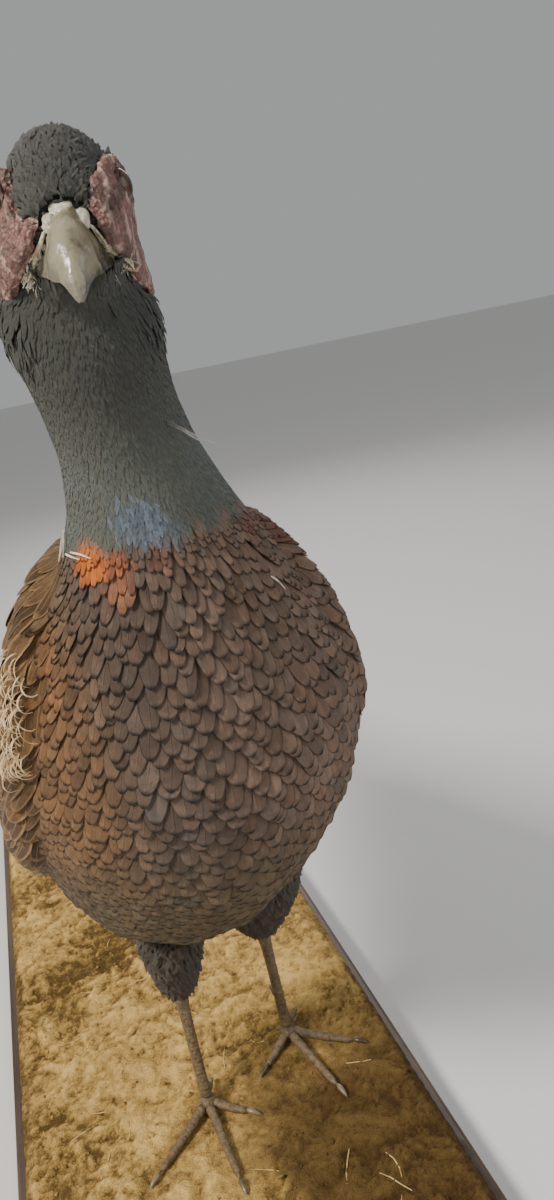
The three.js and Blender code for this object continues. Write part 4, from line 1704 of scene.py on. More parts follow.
@dataclass
class Thigh:
    """The shaggy feathering of one leg, down to the hock."""

    side: str
    flesh: Flesh
    knee: tuple[float, float, float]
    hock: tuple[float, float, float]
    rows: int = 70
    columns: int = 90
    reach: float = 50.0
    dye: Colour = tone(76, 62, 45)
    plume: Plume = Plume(3.2, 2.3, 14.0, 2.8, 2.2, sink=2.4, yaw=12, roll=18, vary=0.25, thick=0.15,
                         tip=Tip.HAIR)

    def build(self, finish: Material) -> Object:
        """Makes the coat of the thigh.

        Args:
            finish: the feathers' material.

        Returns:
            The coat piece.
        """
        hull = self.flesh.hull([f"thigh_{self.side}"], 1.6 * MM)
        start, end = bird_point(*self.knee), bird_point(*self.hock)
        down = (end - start).normalized()
        shares = np.linspace(0.0, 1.0, self.rows)
        middles = np.array([start.lerp(end, s) for s in shares])
        left = down.cross(Vector((0, 1, 0))).normalized()
        up = left.cross(down).normalized()
        relief = Relief(BVHTree.FromBMesh(hull), middles, np.tile(left, (self.rows, 1)),
                        np.tile(up, (self.rows, 1)), np.full(self.rows, self.reach * MM), self.columns)
        hull.free()
        along, across = (np.full(relief.places.shape[:2], apart * MM)
                         for apart in (self.plume.along, self.plume.across))
        rows, columns = relief.lattice(along, across, 0.0)
        count = len(rows)
        sizes = {key: np.full(count, getattr(self.plume, key) * scale) for key, scale in PLUME_SCALES.items()}
        dice = np.random.default_rng(71)
        dye = np.array(self.dye) * (1 + dice.normal(0, 0.18, count).clip(-0.4, 0.4))[:, None]
        coat = Coat(f"coat_thigh_{self.side}", relief, Vane.cut(2, 4), finish, "thigh_feathers", 31)
        return coat.grow(rows, columns, sizes, dye, dye * 0.5, self.plume.tip)


# ---- lofted pieces


@dataclass(frozen=True)
class Ring:
    """One cross-section of a lofted piece."""

    middle: Vector
    left: Vector
    up: Vector
    wide: float
    tall: float


def loft(rings: list[Ring], sides: int) -> BMesh:
    """Bridges a row of oval rings into one closed solid.

    Args:
        rings: the cross-sections in order.
        sides: the corners of each.

    Returns:
        The solid, with a map "vane" of places round and along it.
    """
    made = bmesh.new()
    maps = made.loops.layers.uv.new("vane")
    loops = []
    for ring in rings:
        circle = bmesh.ops.create_circle(made, segments=sides, radius=1.0)["verts"]
        for vertex in circle:
            angle = math.atan2(vertex.co.y, vertex.co.x)
            vertex.co = (ring.middle + ring.left * (ring.wide * math.cos(angle))
                         + ring.up * (ring.tall * math.sin(angle)))
        loops.append(circle)
    where = {}
    for n, circle in enumerate(loops):
        for k, vertex in enumerate(circle):
            where[vertex] = (0.5 + 0.5 * math.sin(k / sides * 2 * math.pi), n / (len(loops) - 1))
    edges = [[e for e in made.edges if e.verts[0] in set(loop) and e.verts[1] in set(loop)] for loop in loops]
    for first, second in zip(edges, edges[1:]):
        bmesh.ops.bridge_loops(made, edges=first + second)
    for end in (loops[0], loops[-1]):
        bmesh.ops.contextual_create(made, geom=end)
    map_corners(made, maps, where.get)
    return made


def join_tufts(name: str, tufts: list[BMesh]) -> Mesh:
    """Joins lofted tufts, each with its own small patch of the bake map where its root lies on the skin.

    Args:
        name: the mesh's name.
        tufts: the tufts, which are used up.

    Returns:
        The joined mesh.
    """
    made = bmesh.new()
    for layer in ("vane", "OFBake"):
        made.loops.layers.uv.new(layer)
    for tuft in tufts:
        bake = tuft.loops.layers.uv.new("OFBake")
        vane = tuft.loops.layers.uv["vane"]
        tuft.verts.ensure_lookup_table()
        root = (tuft.verts[0].co - FEET_MIDDLE) / (480 * MM)
        home = Vector((0.5 + 0.49 * math.atan2(root.x, -root.y) / math.pi, min(max(root.z, 0.01), 0.99)))
        for face in tuft.faces:
            for corner in face.loops:
                corner[bake].uv = home + (corner[vane].uv - Vector((0.5, 0.5))) * BAKE_PATCH
        absorb(made, tuft)
    return from_bmesh(name, made)


def along_path(points: list[Vector], radii: list[float], up_hint: Vector = Vector((0, 0, 1)),
               flat: float = 1.0) -> list[Ring]:
    """Round rings square to a path.

    Args:
        points: the path.
        radii: a radius for each point.
        up_hint: roughly where the rings' tops point.
        flat: the rings' height as a share of their width.

    Returns:
        The rings.
    """
    rings = []
    for k, point in enumerate(points):
        ahead = (points[min(k + 1, len(points) - 1)] - points[max(k - 1, 0)]).normalized()
        left = up_hint.cross(ahead).normalized()
        up = ahead.cross(left).normalized()
        rings.append(Ring(point, left, up, radii[k], radii[k] * flat))
    return rings


def node_spine(name: str, way: Vector, cuts: int, count: int) -> tuple[Array, Array]:
    """The middle line of a long node and its half width, from cuts square to a direction.

    Args:
        name: the node.
        way: the direction along it.
        cuts: how many cuts are made.
        count: how many places are wanted on the smooth line through them.

    Returns:
        The places and their half widths.
    """
    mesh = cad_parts[name].data
    points, ahead = node_points(name), np.array(way)
    edges = np.array([edge.vertices for edge in mesh.edges])
    along = points @ ahead
    first, second = along[edges[:, 0]], along[edges[:, 1]]
    margin = 0.02 * (along.max() - along.min())
    middles, widths = [], []
    for place in np.linspace(along.min() + margin, along.max() - margin, cuts):
        crossing = (first - place) * (second - place) < 0
        share = ((place - first) / (second - first + 1e-15))[crossing][:, None]
        cut = points[edges[crossing, 0]] * (1 - share) + points[edges[crossing, 1]] * share
        middle = (cut.max(0) + cut.min(0)) / 2
        middles.append(Vector(middle + ahead * (place - middle @ ahead)))
        widths.append([np.linalg.norm(cut - middle, axis=1).max()])
    return smooth_curve(np.array(middles), count), smooth_curve(np.array(widths), count)[:, 0]


# ---- head


@dataclass
class Head:
    """Bill, eyes, lids, wattles and ear tufts."""

    ahead: float = 159.0
    left: float = -4.0
    height: float = 448.0
    turn: float = -10.0
    pitch: float = 27.0
    roll: float = 2.0
    eye_aside: float = 13.2
    eye_back: float = 1.0
    eye_height: float = 6.5
    eye_opening: float = math.radians(62)
    matrix: Matrix = field(init=False)
    bald: list[tuple[BVHTree, float]] = field(default_factory=list)

    def __post_init__(self) -> None:
        """Works out the head's own frame."""
        turned = Euler([math.radians(a) for a in (self.pitch, self.roll, self.turn)], "YXZ").to_matrix()
        place = bird_point(self.ahead, self.left, self.height)
        self.matrix = Matrix.Translation(place) @ turned.to_4x4()

    def point(self, ahead: float, left: float, height: float) -> Vector:
        """A place in the head's own frame, in millimetres."""
        return self.matrix @ (Vector((left, -ahead, height)) * MM)

    def build(self) -> None:
        """Makes every piece of the head."""
        self.bill()
        for name, side in SIDES.items():
            self.eye(name, side)
            self.wattle(name)
            self.ear_tuft(name, side)

    def bill(self) -> None:
        """The two halves of the bill, the nostril covers and the folds at its corners."""
        horn = BillFinish("bill_horn", tone(118, 108, 84), tone(58, 52, 38), tone(180, 175, 156)).material()
        shell = self._shell(self.UPPER)
        self.bald.append((BVHTree.FromBMesh(shell), 0.3 * MM))
        upper = link("bill_upper", from_bmesh("bill_upper", shell), horn, sharp=60)
        settle(upper, "beak_horn", "beak_upper")
        lower = link("bill_lower", from_bmesh("bill_lower", self._shell(self.LOWER)), horn, sharp=60)
        settle(lower, "beak_horn", "beak_lower")
        cover = BillFinish("cover_skin", tone(150, 142, 118), tone(84, 76, 58), tone(206, 201, 184),
                           0.45).material()
        self._lump("brow_cover", Vector((11.8, -0.6, 7.6)), Vector((3.6, 3.0, 1.7)), cover)
        for name, side in SIDES.items():
            self._lump(f"nostril_cover_{name}", Vector((13.8, side * 3.7, 5.4)), Vector((4.6, 2.2, 2.0)),
                       cover)
            self._gape(name, side)

    # (ahead, ridge height, half width at the edge, edge height, flare of the edge) in the head's frame
    UPPER = (
        (7, 7.8, 5.2, -5.4, 4.2), (10, 8.3, 5.6, -6.4, 5.6), (13, 8.5, 5.9, -6.5, 4.8),
        (16, 8.5, 6.1, -6.0, 3.0), (20, 8.2, 6.3, -5.2, 1.2), (24, 7.3, 6.4, -4.2, 0.2),
        (27.5, 6.1, 6.1, -3.2, 0.0), (29.5, 5.1, 5.0, -2.7, 0.0), (31, 4.2, 4.1, -2.4, 0.0),
        (33, 2.9, 3.3, -2.4, 0.0), (35, 1.2, 2.6, -2.7, 0.0), (36.6, -0.8, 1.9, -3.4, 0.0),
        (37.8, -2.6, 1.2, -4.2, 0.0), (38.4, -4.0, 0.5, -4.7, 0.0),
    )
    LOWER = (
        (7, -9.6, 5.4, -5.6, 1.6), (12, -9.5, 5.6, -5.8, 1.2), (17, -8.6, 5.2, -5.1, 0.5),
        (22, -7.5, 4.5, -4.3, 0.0), (27, -6.3, 3.5, -3.8, 0.0), (31, -5.4, 2.3, -3.7, 0.0),
        (33.5, -4.6, 1.0, -3.8, 0.0),
    )

    def _shell(self, sections: tuple, count: int = 48, steps: int = 15) -> BMesh:
        """One half of the bill: a tent of horn with thin edges and a hollow underside.

        Args:
            sections: its cross-sections.
            count: how many cross-sections are lofted.
            steps: corners from the ridge to one edge.

        Returns:
            The closed shell, with its map of places from ridge to edge and along.
        """
        made = bmesh.new()
        maps = made.loops.layers.uv.new("vane")
        where, loops = {}, []
        for n, (ahead, ridge, half, edge, flare) in enumerate(smooth_curve(np.array(sections, float), count)):
            outline = []
            for k in range(steps + 1):
                share = k / steps
                bend = share * math.pi / 2
                out = half * math.sin(bend) ** 0.92 + flare * share**5
                up = edge + (ridge - edge) * (math.cos(bend) ** 0.85 if k < steps else 0.0)
                outline.append((out, up, share))
            inner = [(out * 0.86, edge + (ridge - edge) * 0.3 * math.cos(share * math.pi / 2), 1.0)
                     for out, _, share in outline[::-3]]
            half_ring = outline + inner
            ring = half_ring + [(-out, up, share) for out, up, share in half_ring[-2:0:-1]]
            loop = []
            for out, up, share in ring:
                wave = 0.16 * noise.noise(Vector((ahead * 0.35, out * 0.4, up * 0.4)))
                wave += 0.1 * noise.noise(Vector((ahead * 0.5, out * 1.3, up * 1.3)))
                wave += 0.05 * noise.noise(Vector((ahead * 1.9, out * 2.4, up * 2.4)))
                vertex = made.verts.new(self.point(ahead, out * (1 + wave * 0.4), up + wave * 1.6))
                where[vertex] = (0.5 + 0.5 * share, n / (count - 1))
                loop.append(vertex)
            loops.append(loop)
        size = len(loops[0])
        for first, second in zip(loops, loops[1:]):
            for k in range(size):
                made.faces.new((first[k], first[(k + 1) % size], second[(k + 1) % size], second[k]))
        made.faces.new(loops[0])
        made.faces.new(loops[-1])
        bmesh.ops.triangulate(made, faces=[f for f in made.faces if len(f.verts) > 4])
        map_corners(made, maps, where.get)
        return made

    def _lump(self, name: str, at: Vector, size: Vector, finish: Material) -> None:
        """A swollen, slightly crinkled cover of pale skin.

        Args:
            name: the piece's name.
            at: its middle in the head's frame, in millimetres.
            size: its half lengths ahead, across and up.
            finish: its material.
        """
        made = bmesh.new()
        bmesh.ops.create_icosphere(made, subdivisions=4, radius=1.0)
        maps = made.loops.layers.uv.new("vane")
        for vertex in made.verts:
            place = vertex.co.copy()
            lump = 1 + 0.26 * noise.noise(place * 1.7 + at) + 0.09 * noise.noise(place * 5 + at)
            place *= lump
            vertex.co = self.point(at.x + place.y * size.x, at.y + place.x * size.y,
                                   at.z + place.z * size.z - 0.25 * place.y)
        self.bald.append((BVHTree.FromBMesh(made), 0.9 * MM))
        map_corners(made, maps, dict.fromkeys(made.verts, (0.55, 0.03)).get)
        settle(link(name, from_bmesh(name, made), finish), "beak_horn")

    def _strands(self, name: str, strands: list, finish: Material, slot: str) -> None:
        """Many thin tapering strands joined into one piece.

        Args:
            name: the piece's name.
            strands: for each strand its path in the head's frame, in millimetres, and its thickness.
            finish: the material.
            slot: the record's slot.
        """
        tufts = []
        up = self.matrix.to_3x3() @ Vector((0.1, 0.2, 1))
        for path, thick in strands:
            curve = smooth_curve(np.array(path, float), 9)
            taper = [thick * MM * (0.55 + 0.45 * math.sin(math.pi * t / 8)) * (1 - 0.5 * t / 8)
                     for t in range(9)]
            tufts.append(loft(along_path([self.point(*p) for p in curve], taper, up), 7))
        settle(link(name, join_tufts(name, tufts), finish), slot)

    def _gape(self, name: str, side: int) -> None:
        """Pale wrinkled folds of skin from the nostril to the corner of the mouth, and bristles past it.

        Args:
            name: the side's name.
            side: its sign.
        """
        dice = np.random.default_rng(61 + side)
        folds = []

        def jig(scale: float) -> float:
            """A chance shift of about so many millimetres."""
            return float(dice.normal(0, scale))

        for k in range(20):
            drop = 0.3 * k
            path = [(15.5 - 0.3 * k, side * (5.6 + 0.12 * k), 4.2 - drop * 0.6),
                    (15.0 - 0.24 * k + jig(0.5), side * (8.0 + jig(0.6)), 0.4 - drop + jig(0.5)),
                    (13.0 - 0.18 * k + jig(0.5), side * (10.3 + jig(0.8)), -3.4 - drop * 0.7 + jig(0.5)),
                    (11.5 + jig(0.7), side * (12.0 + jig(0.9)), -7.4 - drop * 0.5 + jig(0.7))]
            folds.append((path, 0.42 + 0.2 * abs(jig(1))))
        for k in range(4):
            path = [(8.5 + 0.6 * k, side * (9.2 + 0.3 * k), 7.5 - 0.8 * k),
                    (11.5 + jig(0.3), side * (10.6 + jig(0.3)), 2.4 - 0.8 * k),
                    (11.5 + jig(0.3), side * (12.4 + jig(0.3)), -3.0 - 0.8 * k),
                    (10.0 + jig(0.5), side * (14.4 + jig(0.4)), -8.5 - 0.6 * k)]
            folds.append((path, 0.4 + 0.15 * abs(jig(1))))
        skin = WattleFinish(f"gape_skin_{name}", tone(236, 226, 204), tone(176, 162, 136),
                            tone(250, 246, 232))
        self._strands(f"gape_folds_{name}", folds, skin.material(), "wattle_skin")
        self._bristles(name, side, dice)

    def _bristles(self, name: str, side: int, dice: np.random.Generator) -> None:
        """Short pale bristles past the corner of the mouth.

        Args:
            name: the side's name.
            side: its sign.
            dice: where the chance comes from.
        """
        bristles = []
        for _ in range(60):
            start = np.array([11 + dice.normal(0, 1.6), side * (11.0 + dice.normal(0, 1.4)),
                              -7.0 + dice.normal(0, 2.0)])
            way = np.array([dice.normal(0.35, 0.5), side * dice.normal(0.2, 0.8), -dice.uniform(0.2, 1.2)])
            long = dice.uniform(0.8, 2.2)
            bend = dice.normal(0, 0.9, 3)
            bristles.append(([start + way * long * t + bend * t * t for t in (0, 0.35, 0.7, 1.0)],
                             dice.uniform(0.12, 0.24)))
        pale = HornFinish(f"pale_bristles_{name}", tone(190, 188, 170), tone(110, 108, 94), 200, 0.7, 0.0)
        self._strands(f"gape_bristles_{name}", bristles, pale.material(), "head_feathers")

    def eye(self, name: str, side: int, radius: float = 5.0) -> None:
        """A glass eye and the rim of skin round it.

        Args:
            name: the side's name.
            side: its sign.
            radius: the eye's radius in millimetres.
        """
        made = bmesh.new()
        bmesh.ops.create_uvsphere(made, u_segments=40, v_segments=24, radius=radius * MM)
        maps = made.loops.layers.uv.new("vane")

        def from_pupil(vertex: bmesh.types.BMVert) -> tuple[float, float]:
            """How far a vertex is from the pupil's middle, as a place on the map."""
            tilt = math.acos(max(-1.0, min(1.0, vertex.co.z / (radius * MM))))
            return 0.5 + 0.5 * min(1.0, tilt / self.eye_opening), 0.5

        map_corners(made, maps, from_pupil)
        outwards = Vector((side, -0.16, 0.06)).normalized()
        turn = outwards.to_track_quat("Z", "Y").to_matrix().to_4x4()
        middle = Matrix.Translation(Vector((side * self.eye_aside, self.eye_back, self.eye_height)) * MM)
        socket = self.matrix @ middle @ turn
        bmesh.ops.transform(made, matrix=socket, verts=made.verts)
        bmesh.ops.recalc_face_normals(made, faces=made.faces)
        self.bald.append((BVHTree.FromBMesh(made), 0.6 * MM))
        glass = EyeFinish(f"eye_glass_{name}", tone(92, 60, 44), tone(58, 38, 28)).material()
        settle(link(f"glass_eye_{name}", from_bmesh("eye", made), glass), "glass_eye", f"eye_{name}")
        self._lid(name, socket)

    @staticmethod
    def _lid(name: str, socket: Matrix) -> None:
        """The rim of skin round one eye.

        Args:
            name: the side's name.
            socket: the eye's place and turn.
        """
        lid = bmesh.new()
        rim = bmesh.ops.create_circle(lid, segments=10, radius=0.55 * MM)["verts"]
        upright = Matrix.Rotation(math.pi / 2, 4, "X")
        bmesh.ops.transform(lid, matrix=Matrix.Translation((4.6 * MM, 0, 0)) @ upright, verts=rim)
        bmesh.ops.spin(lid, geom=lid.verts[:] + lid.edges[:], cent=(0, 0, 0), axis=(0, 0, 1), dvec=(0, 0, 0),
                       angle=2 * math.pi, steps=40, use_merge=True, use_duplicate=False)
        bmesh.ops.remove_doubles(lid, verts=lid.verts, dist=1e-6)
        for vertex in lid.verts:
            where = vertex.co * 900
            vertex.co += Vector((noise.noise(where), noise.noise(where + Vector((5, 5, 5))), 0)) * 0.35 * MM
            vertex.co.z += 2.0 * MM
        bmesh.ops.transform(lid, matrix=socket, verts=lid.verts)
        bmesh.ops.recalc_face_normals(lid, faces=lid.faces)
        skin = WattleFinish(f"lid_skin_{name}", tone(96, 66, 58), tone(66, 46, 42), tone(120, 92, 82))
        settle(link(f"eyelid_{name}", from_bmesh("lid", lid), skin.material()), "wattle_skin")

    def wattle(self, name: str) -> None:
        """The warty red skin round one eye.

        Args:
            name: the side's name.
        """
        made = Flesh(swell=0.3 * MM, rounds=3).hull([f"wattle_{name}"], 0.6 * MM)
        middle = self.point(-self.eye_back, SIDES[name] * self.eye_aside, self.eye_height)
        for vertex in made.verts:
            ridge = noise.noise(vertex.co * 420)
            wart = noise.voronoi(vertex.co * 620)[0][0]
            crease = abs(noise.noise(Vector((vertex.co.x * 300, vertex.co.y * 300, vertex.co.z * 90))))
            near = max(0.0, 1 - (vertex.co - middle).length / (7 * MM))
            vertex.co += vertex.normal * (0.55 * ridge - 0.9 * wart + 0.3 - 0.7 * crease - 0.9 * near) * MM
            vertex.co += self.matrix.to_3x3() @ self._sag(name, self.matrix.inverted() @ vertex.co / MM) * MM
        made.normal_update()
        self.bald.append((BVHTree.FromBMesh(made), 0.5 * MM))
        red = WattleFinish(f"wattle_skin_{name}", tone(134, 95, 87), tone(82, 60, 54), tone(180, 156, 141))
        settle(link(f"wattle_fold_{name}", from_bmesh("wattle", made), red.material()), "wattle_skin",
               f"wattle_{name}")

    @staticmethod
    def _sag(name: str, own: Vector) -> Vector:
        """How far a place on a wattle hangs out of its node's shape.

        Args:
            name: the side's name.
            own: the place in the head's frame, in millimetres.

        Returns:
            The way it moves, in the same frame.
        """
        wide = abs(own.x)
        hang = clamp((-2.0 - own.z) / 17.0)
        under = clamp((5.0 - own.z) / 10.0)
        back = max(0.0, 9.0 - own.y) * 0.62 * hang**0.8
        if name == "right":
            drop, top = 11.0, own.z - 4.4 - max(0.0, wide - 11.0) * 1.5
            sunk = clamp(top / 4.0) * clamp((0.5 - own.y) / 7.0)
            back += 5.5 * sunk
            aside = (6.5 * hang**1.3 + max(0.0, 19.0 - wide) * 0.5 * hang + 2.6 * under * (1 - sunk)
                     - 1.5 * sunk)
        else:
            drop = 5.0
            aside = (4.6 * hang**1.3 + max(0.0, 17.0 - wide) * 0.6 * hang
                     - max(0.0, wide - 14.5) * 0.5 * under)
        return Vector((SIDES[name] * aside, back, -(drop * hang**1.5)))

    def ear_tuft(self, name: str, side: int) -> None:
        """The small horn of feathers behind the crown.

        Args:
            name: the side's name.
            side: its sign.
        """
        dice = np.random.default_rng(41 + side)
        up = self.matrix.to_3x3() @ Vector((0, 0, 1))
        tufts = []
        for _ in range(34):
            long = dice.uniform(3, 5.5)
            spread, rise = dice.uniform(6, 40), dice.uniform(-15, 16)
            root = np.array([-13 + dice.uniform(-3, 5), side * (11 + dice.uniform(-3, 1.5)),
                             8 + dice.uniform(-4, 2)])
            away = np.array([-math.cos(math.radians(rise)), side * math.sin(math.radians(spread)),
                             math.sin(math.radians(rise))])
            bend = np.array([dice.normal(0, 1.2), dice.normal(0, 1.2), dice.uniform(0.4, 2.4)])
            points = [self.point(*(root + away * long * t + bend * t * t)) for t in (0, 0.35, 0.7, 1)]
            tufts.append(loft(along_path(points, [0.8 * MM, 1.3 * MM, 0.9 * MM, 0.25 * MM], up, 0.35), 6))
        mesh = join_tufts("ear_tuft", tufts)
        colours = np.tile(np.array(MARKINGS.crown) * 0.8, (len(mesh.vertices), 1))
        set_colours(mesh, "dye", colours)
        set_colours(mesh, "trim", colours * 0.5)
        finish = FeatherFinish(f"ear_tuft_feathers_{name}", rim_amount=0.3, roughness=0.7).material()
        settle(link(f"ear_feathers_{name}", mesh, finish), "head_feathers", f"ear_tuft_{name}")


# ---- legs


@dataclass
class Leg:
    """One bare leg: scaled shank and toes, claws and spur."""

    side: str
    hock: tuple[float, float, float]
    foot: tuple[float, float, float]
    plate: float = 2.6
    toe_slim: float = 0.82

    def build(self) -> None:
        """Makes the leg's pieces."""
        scales = ScaleFinish(f"leg_scales_{self.side}", tone(116, 98, 72), tone(62, 50, 36)).material()
        horn = HornFinish(f"claw_horn_{self.side}", tone(128, 112, 88), tone(72, 60, 46)).material()
        self._limb(f"shank_{self.side}", f"scaled_shank_{self.side}",
                   (bird_point(*self.foot) - bird_point(*self.hock)).normalized(), scales, 120, 20)
        pad = bmesh.new()
        bmesh.ops.create_uvsphere(pad, u_segments=24, v_segments=14, radius=5.2 * MM)
        sunk = Matrix.Translation(bird_point(*self.foot) - Vector((0, 0, 2.4 * MM)))
        bmesh.ops.transform(pad, matrix=sunk @ Matrix.Diagonal((1, 1.1, 0.85, 1)), verts=pad.verts)
        settle(link(f"foot_pad_{self.side}", from_bmesh("pad", pad), scales), "leg_scales")
        for toe in TOES:
            ending = f"{toe}_{self.side}"
            way = self._way(f"toe_{ending}")
            self._limb(f"toe_{ending}", f"scaled_toe_{ending}", way, scales, 70, 16, self.toe_slim)
            self._claw(f"claw_{ending}", f"curved_claw_{ending}", way, horn)
        self._claw(f"spur_{self.side}", f"horny_spur_{self.side}", self._way(f"spur_{self.side}"), horn)

    def _way(self, node: str) -> Vector:
        """The direction of a toe, claw or spur, away from the foot.

        Args:
            node: the frame's node.

        Returns:
            The direction.
        """
        points = node_points(node)
        middle = points.mean(0)
        way = np.linalg.svd(points - middle)[2][0]
        foot = np.array(bird_point(*self.foot))
        if "spur" in node:
            foot = np.array([foot[0], foot[1], middle[2]])
        return Vector(way if way @ (middle - foot) > 0 else -way)

    def _limb(self, node: str, name: str, way: Vector, finish: Material, count: int, sides: int,
              slim: float = 1.0) -> None:
        """A limb covered by overlapping plates, a small step at each.

        Args:
            node: the frame's node it replaces.
            name: the piece's name.
            way: the direction along it.
            finish: its material.
            count: how many rings it has.
            sides: the corners of each.
            slim: its thickness as a share of the node's, taken off its upper side.
        """
        centre, radius = node_spine(node, way, 14, count)
        radius[:3] *= (0.6, 0.85, 0.96)
        radius[-3:] *= (0.97, 0.85, 0.55)
        gone = np.concatenate([[0], np.cumsum(np.linalg.norm(np.diff(centre, axis=0), axis=1))])
        gone = gone / (self.plate * MM)
        step = 0.94 + 0.09 * (gone % 1.0) ** 2
        points = [Vector(p) - Vector((0, 0, (1 - slim) * r)) for p, r in zip(centre, radius)]
        made = loft(along_path(points, list(radius * step * slim), Vector((0.1, 0.2, 1))), sides)
        settle(link(name, from_bmesh(name, made), finish, sharp=70), "leg_scales", node)

    def _claw(self, node: str, name: str, way: Vector, finish: Material) -> None:
        """A smooth curved claw.

        Args:
            node: the frame's node it replaces.
            name: the piece's name.
            way: the direction along it.
            finish: its material.
        """
        centre, radius = node_spine(node, way, 5, 16)
        radius[0] *= 0.8
        radius[-1] *= 0.5
        made = loft(along_path([Vector(p) for p in centre], list(radius)), 14)
        settle(link(name, from_bmesh(name, made), finish), "claw_horn", node)


# ---- long feathers


@dataclass
class LongFeathers:
    """Tail and wing quills: broad vanes with a shaft, one for each long node."""

    tail_ranks: int = 6

    def build(self) -> None:
        """Makes the tail's and the wings' long feathers."""
        tail = QuillFinish("tail_vanes", tone(150, 128, 88), tone(52, 40, 30), tone(132, 96, 74),
                           24).material()
        wing = QuillFinish("wing_vanes", tone(140, 120, 92), tone(78, 64, 50), tone(172, 152, 120),
                           9, 0.45).material()
        for rank in range(1, self.tail_ranks + 1):
            for side in SIDES:
                node = f"tail_feather_{rank}_{side}"
                self._feather(node, f"tail_quill_{rank}_{side}", tail, Vector((0, 1, 0)), Vector((0, 0, 1)),
                              "tail_feathers")
        for side in SIDES:
            node = f"primaries_{side}"
            self._feather(node, f"wing_quills_{side}", wing, Vector((0, 1, 0)), Vector((SIDES[side], 0, 0.2)),
                          "wing_quills")

    def _feather(self, node: str, name: str, finish: Material, way: Vector, out: Vector, slot: str) -> None:
        """One long feather along a node's middle line.

        Args:
            node: the frame's node it replaces.
            name: the piece's name.
            finish: its material.
            way: the direction along it.
            out: roughly where its upper side faces.
            slot: the record's slot.
        """
        count = 60
        centre, half = node_spine(node, way, 12, count)
        vane = Vane.cut(6, count - 1)
        stops, which = vane.stops()
        spread = np.stack([np.interp(stops, np.linspace(0, 1, count), centre[:, k]) for k in range(3)], 1)
        wide = np.interp(stops, np.linspace(0, 1, count), half)
        lay = unit(np.gradient(spread, axis=0))
        side = unit(np.cross(lay, np.array(out.normalized())))
        top = np.cross(side, lay)
        bend = 0.05 * wide[which] * vane.across**2
        shaft = np.where(np.abs(vane.across) < 0.1, 0.35 * MM, 0.0) * (1 - 0.7 * vane.along)
        fray = 1 + 0.03 * np.sin(vane.along * 190 + 3 * np.sign(vane.across)) * (np.abs(vane.across) > 0.9)
        height = shaft - bend - 0.45 * MM * vane.under + 0.2 * MM
        points = (spread[which] + side[which] * (vane.across * wide[which] * fray)[:, None]
                  + top[which] * height[:, None])
        mesh = bpy.data.meshes.new(name)
        mesh.from_pydata(points.tolist(), [], vane.faces.tolist())
        flat = vane.flat()
        set_map(mesh, "vane", flat)
        set_map(mesh, "OFBake", flat * 0.96 + 0.02)
        settle(link(name, mesh, finish, sharp=50), slot, node)


# ---- stand


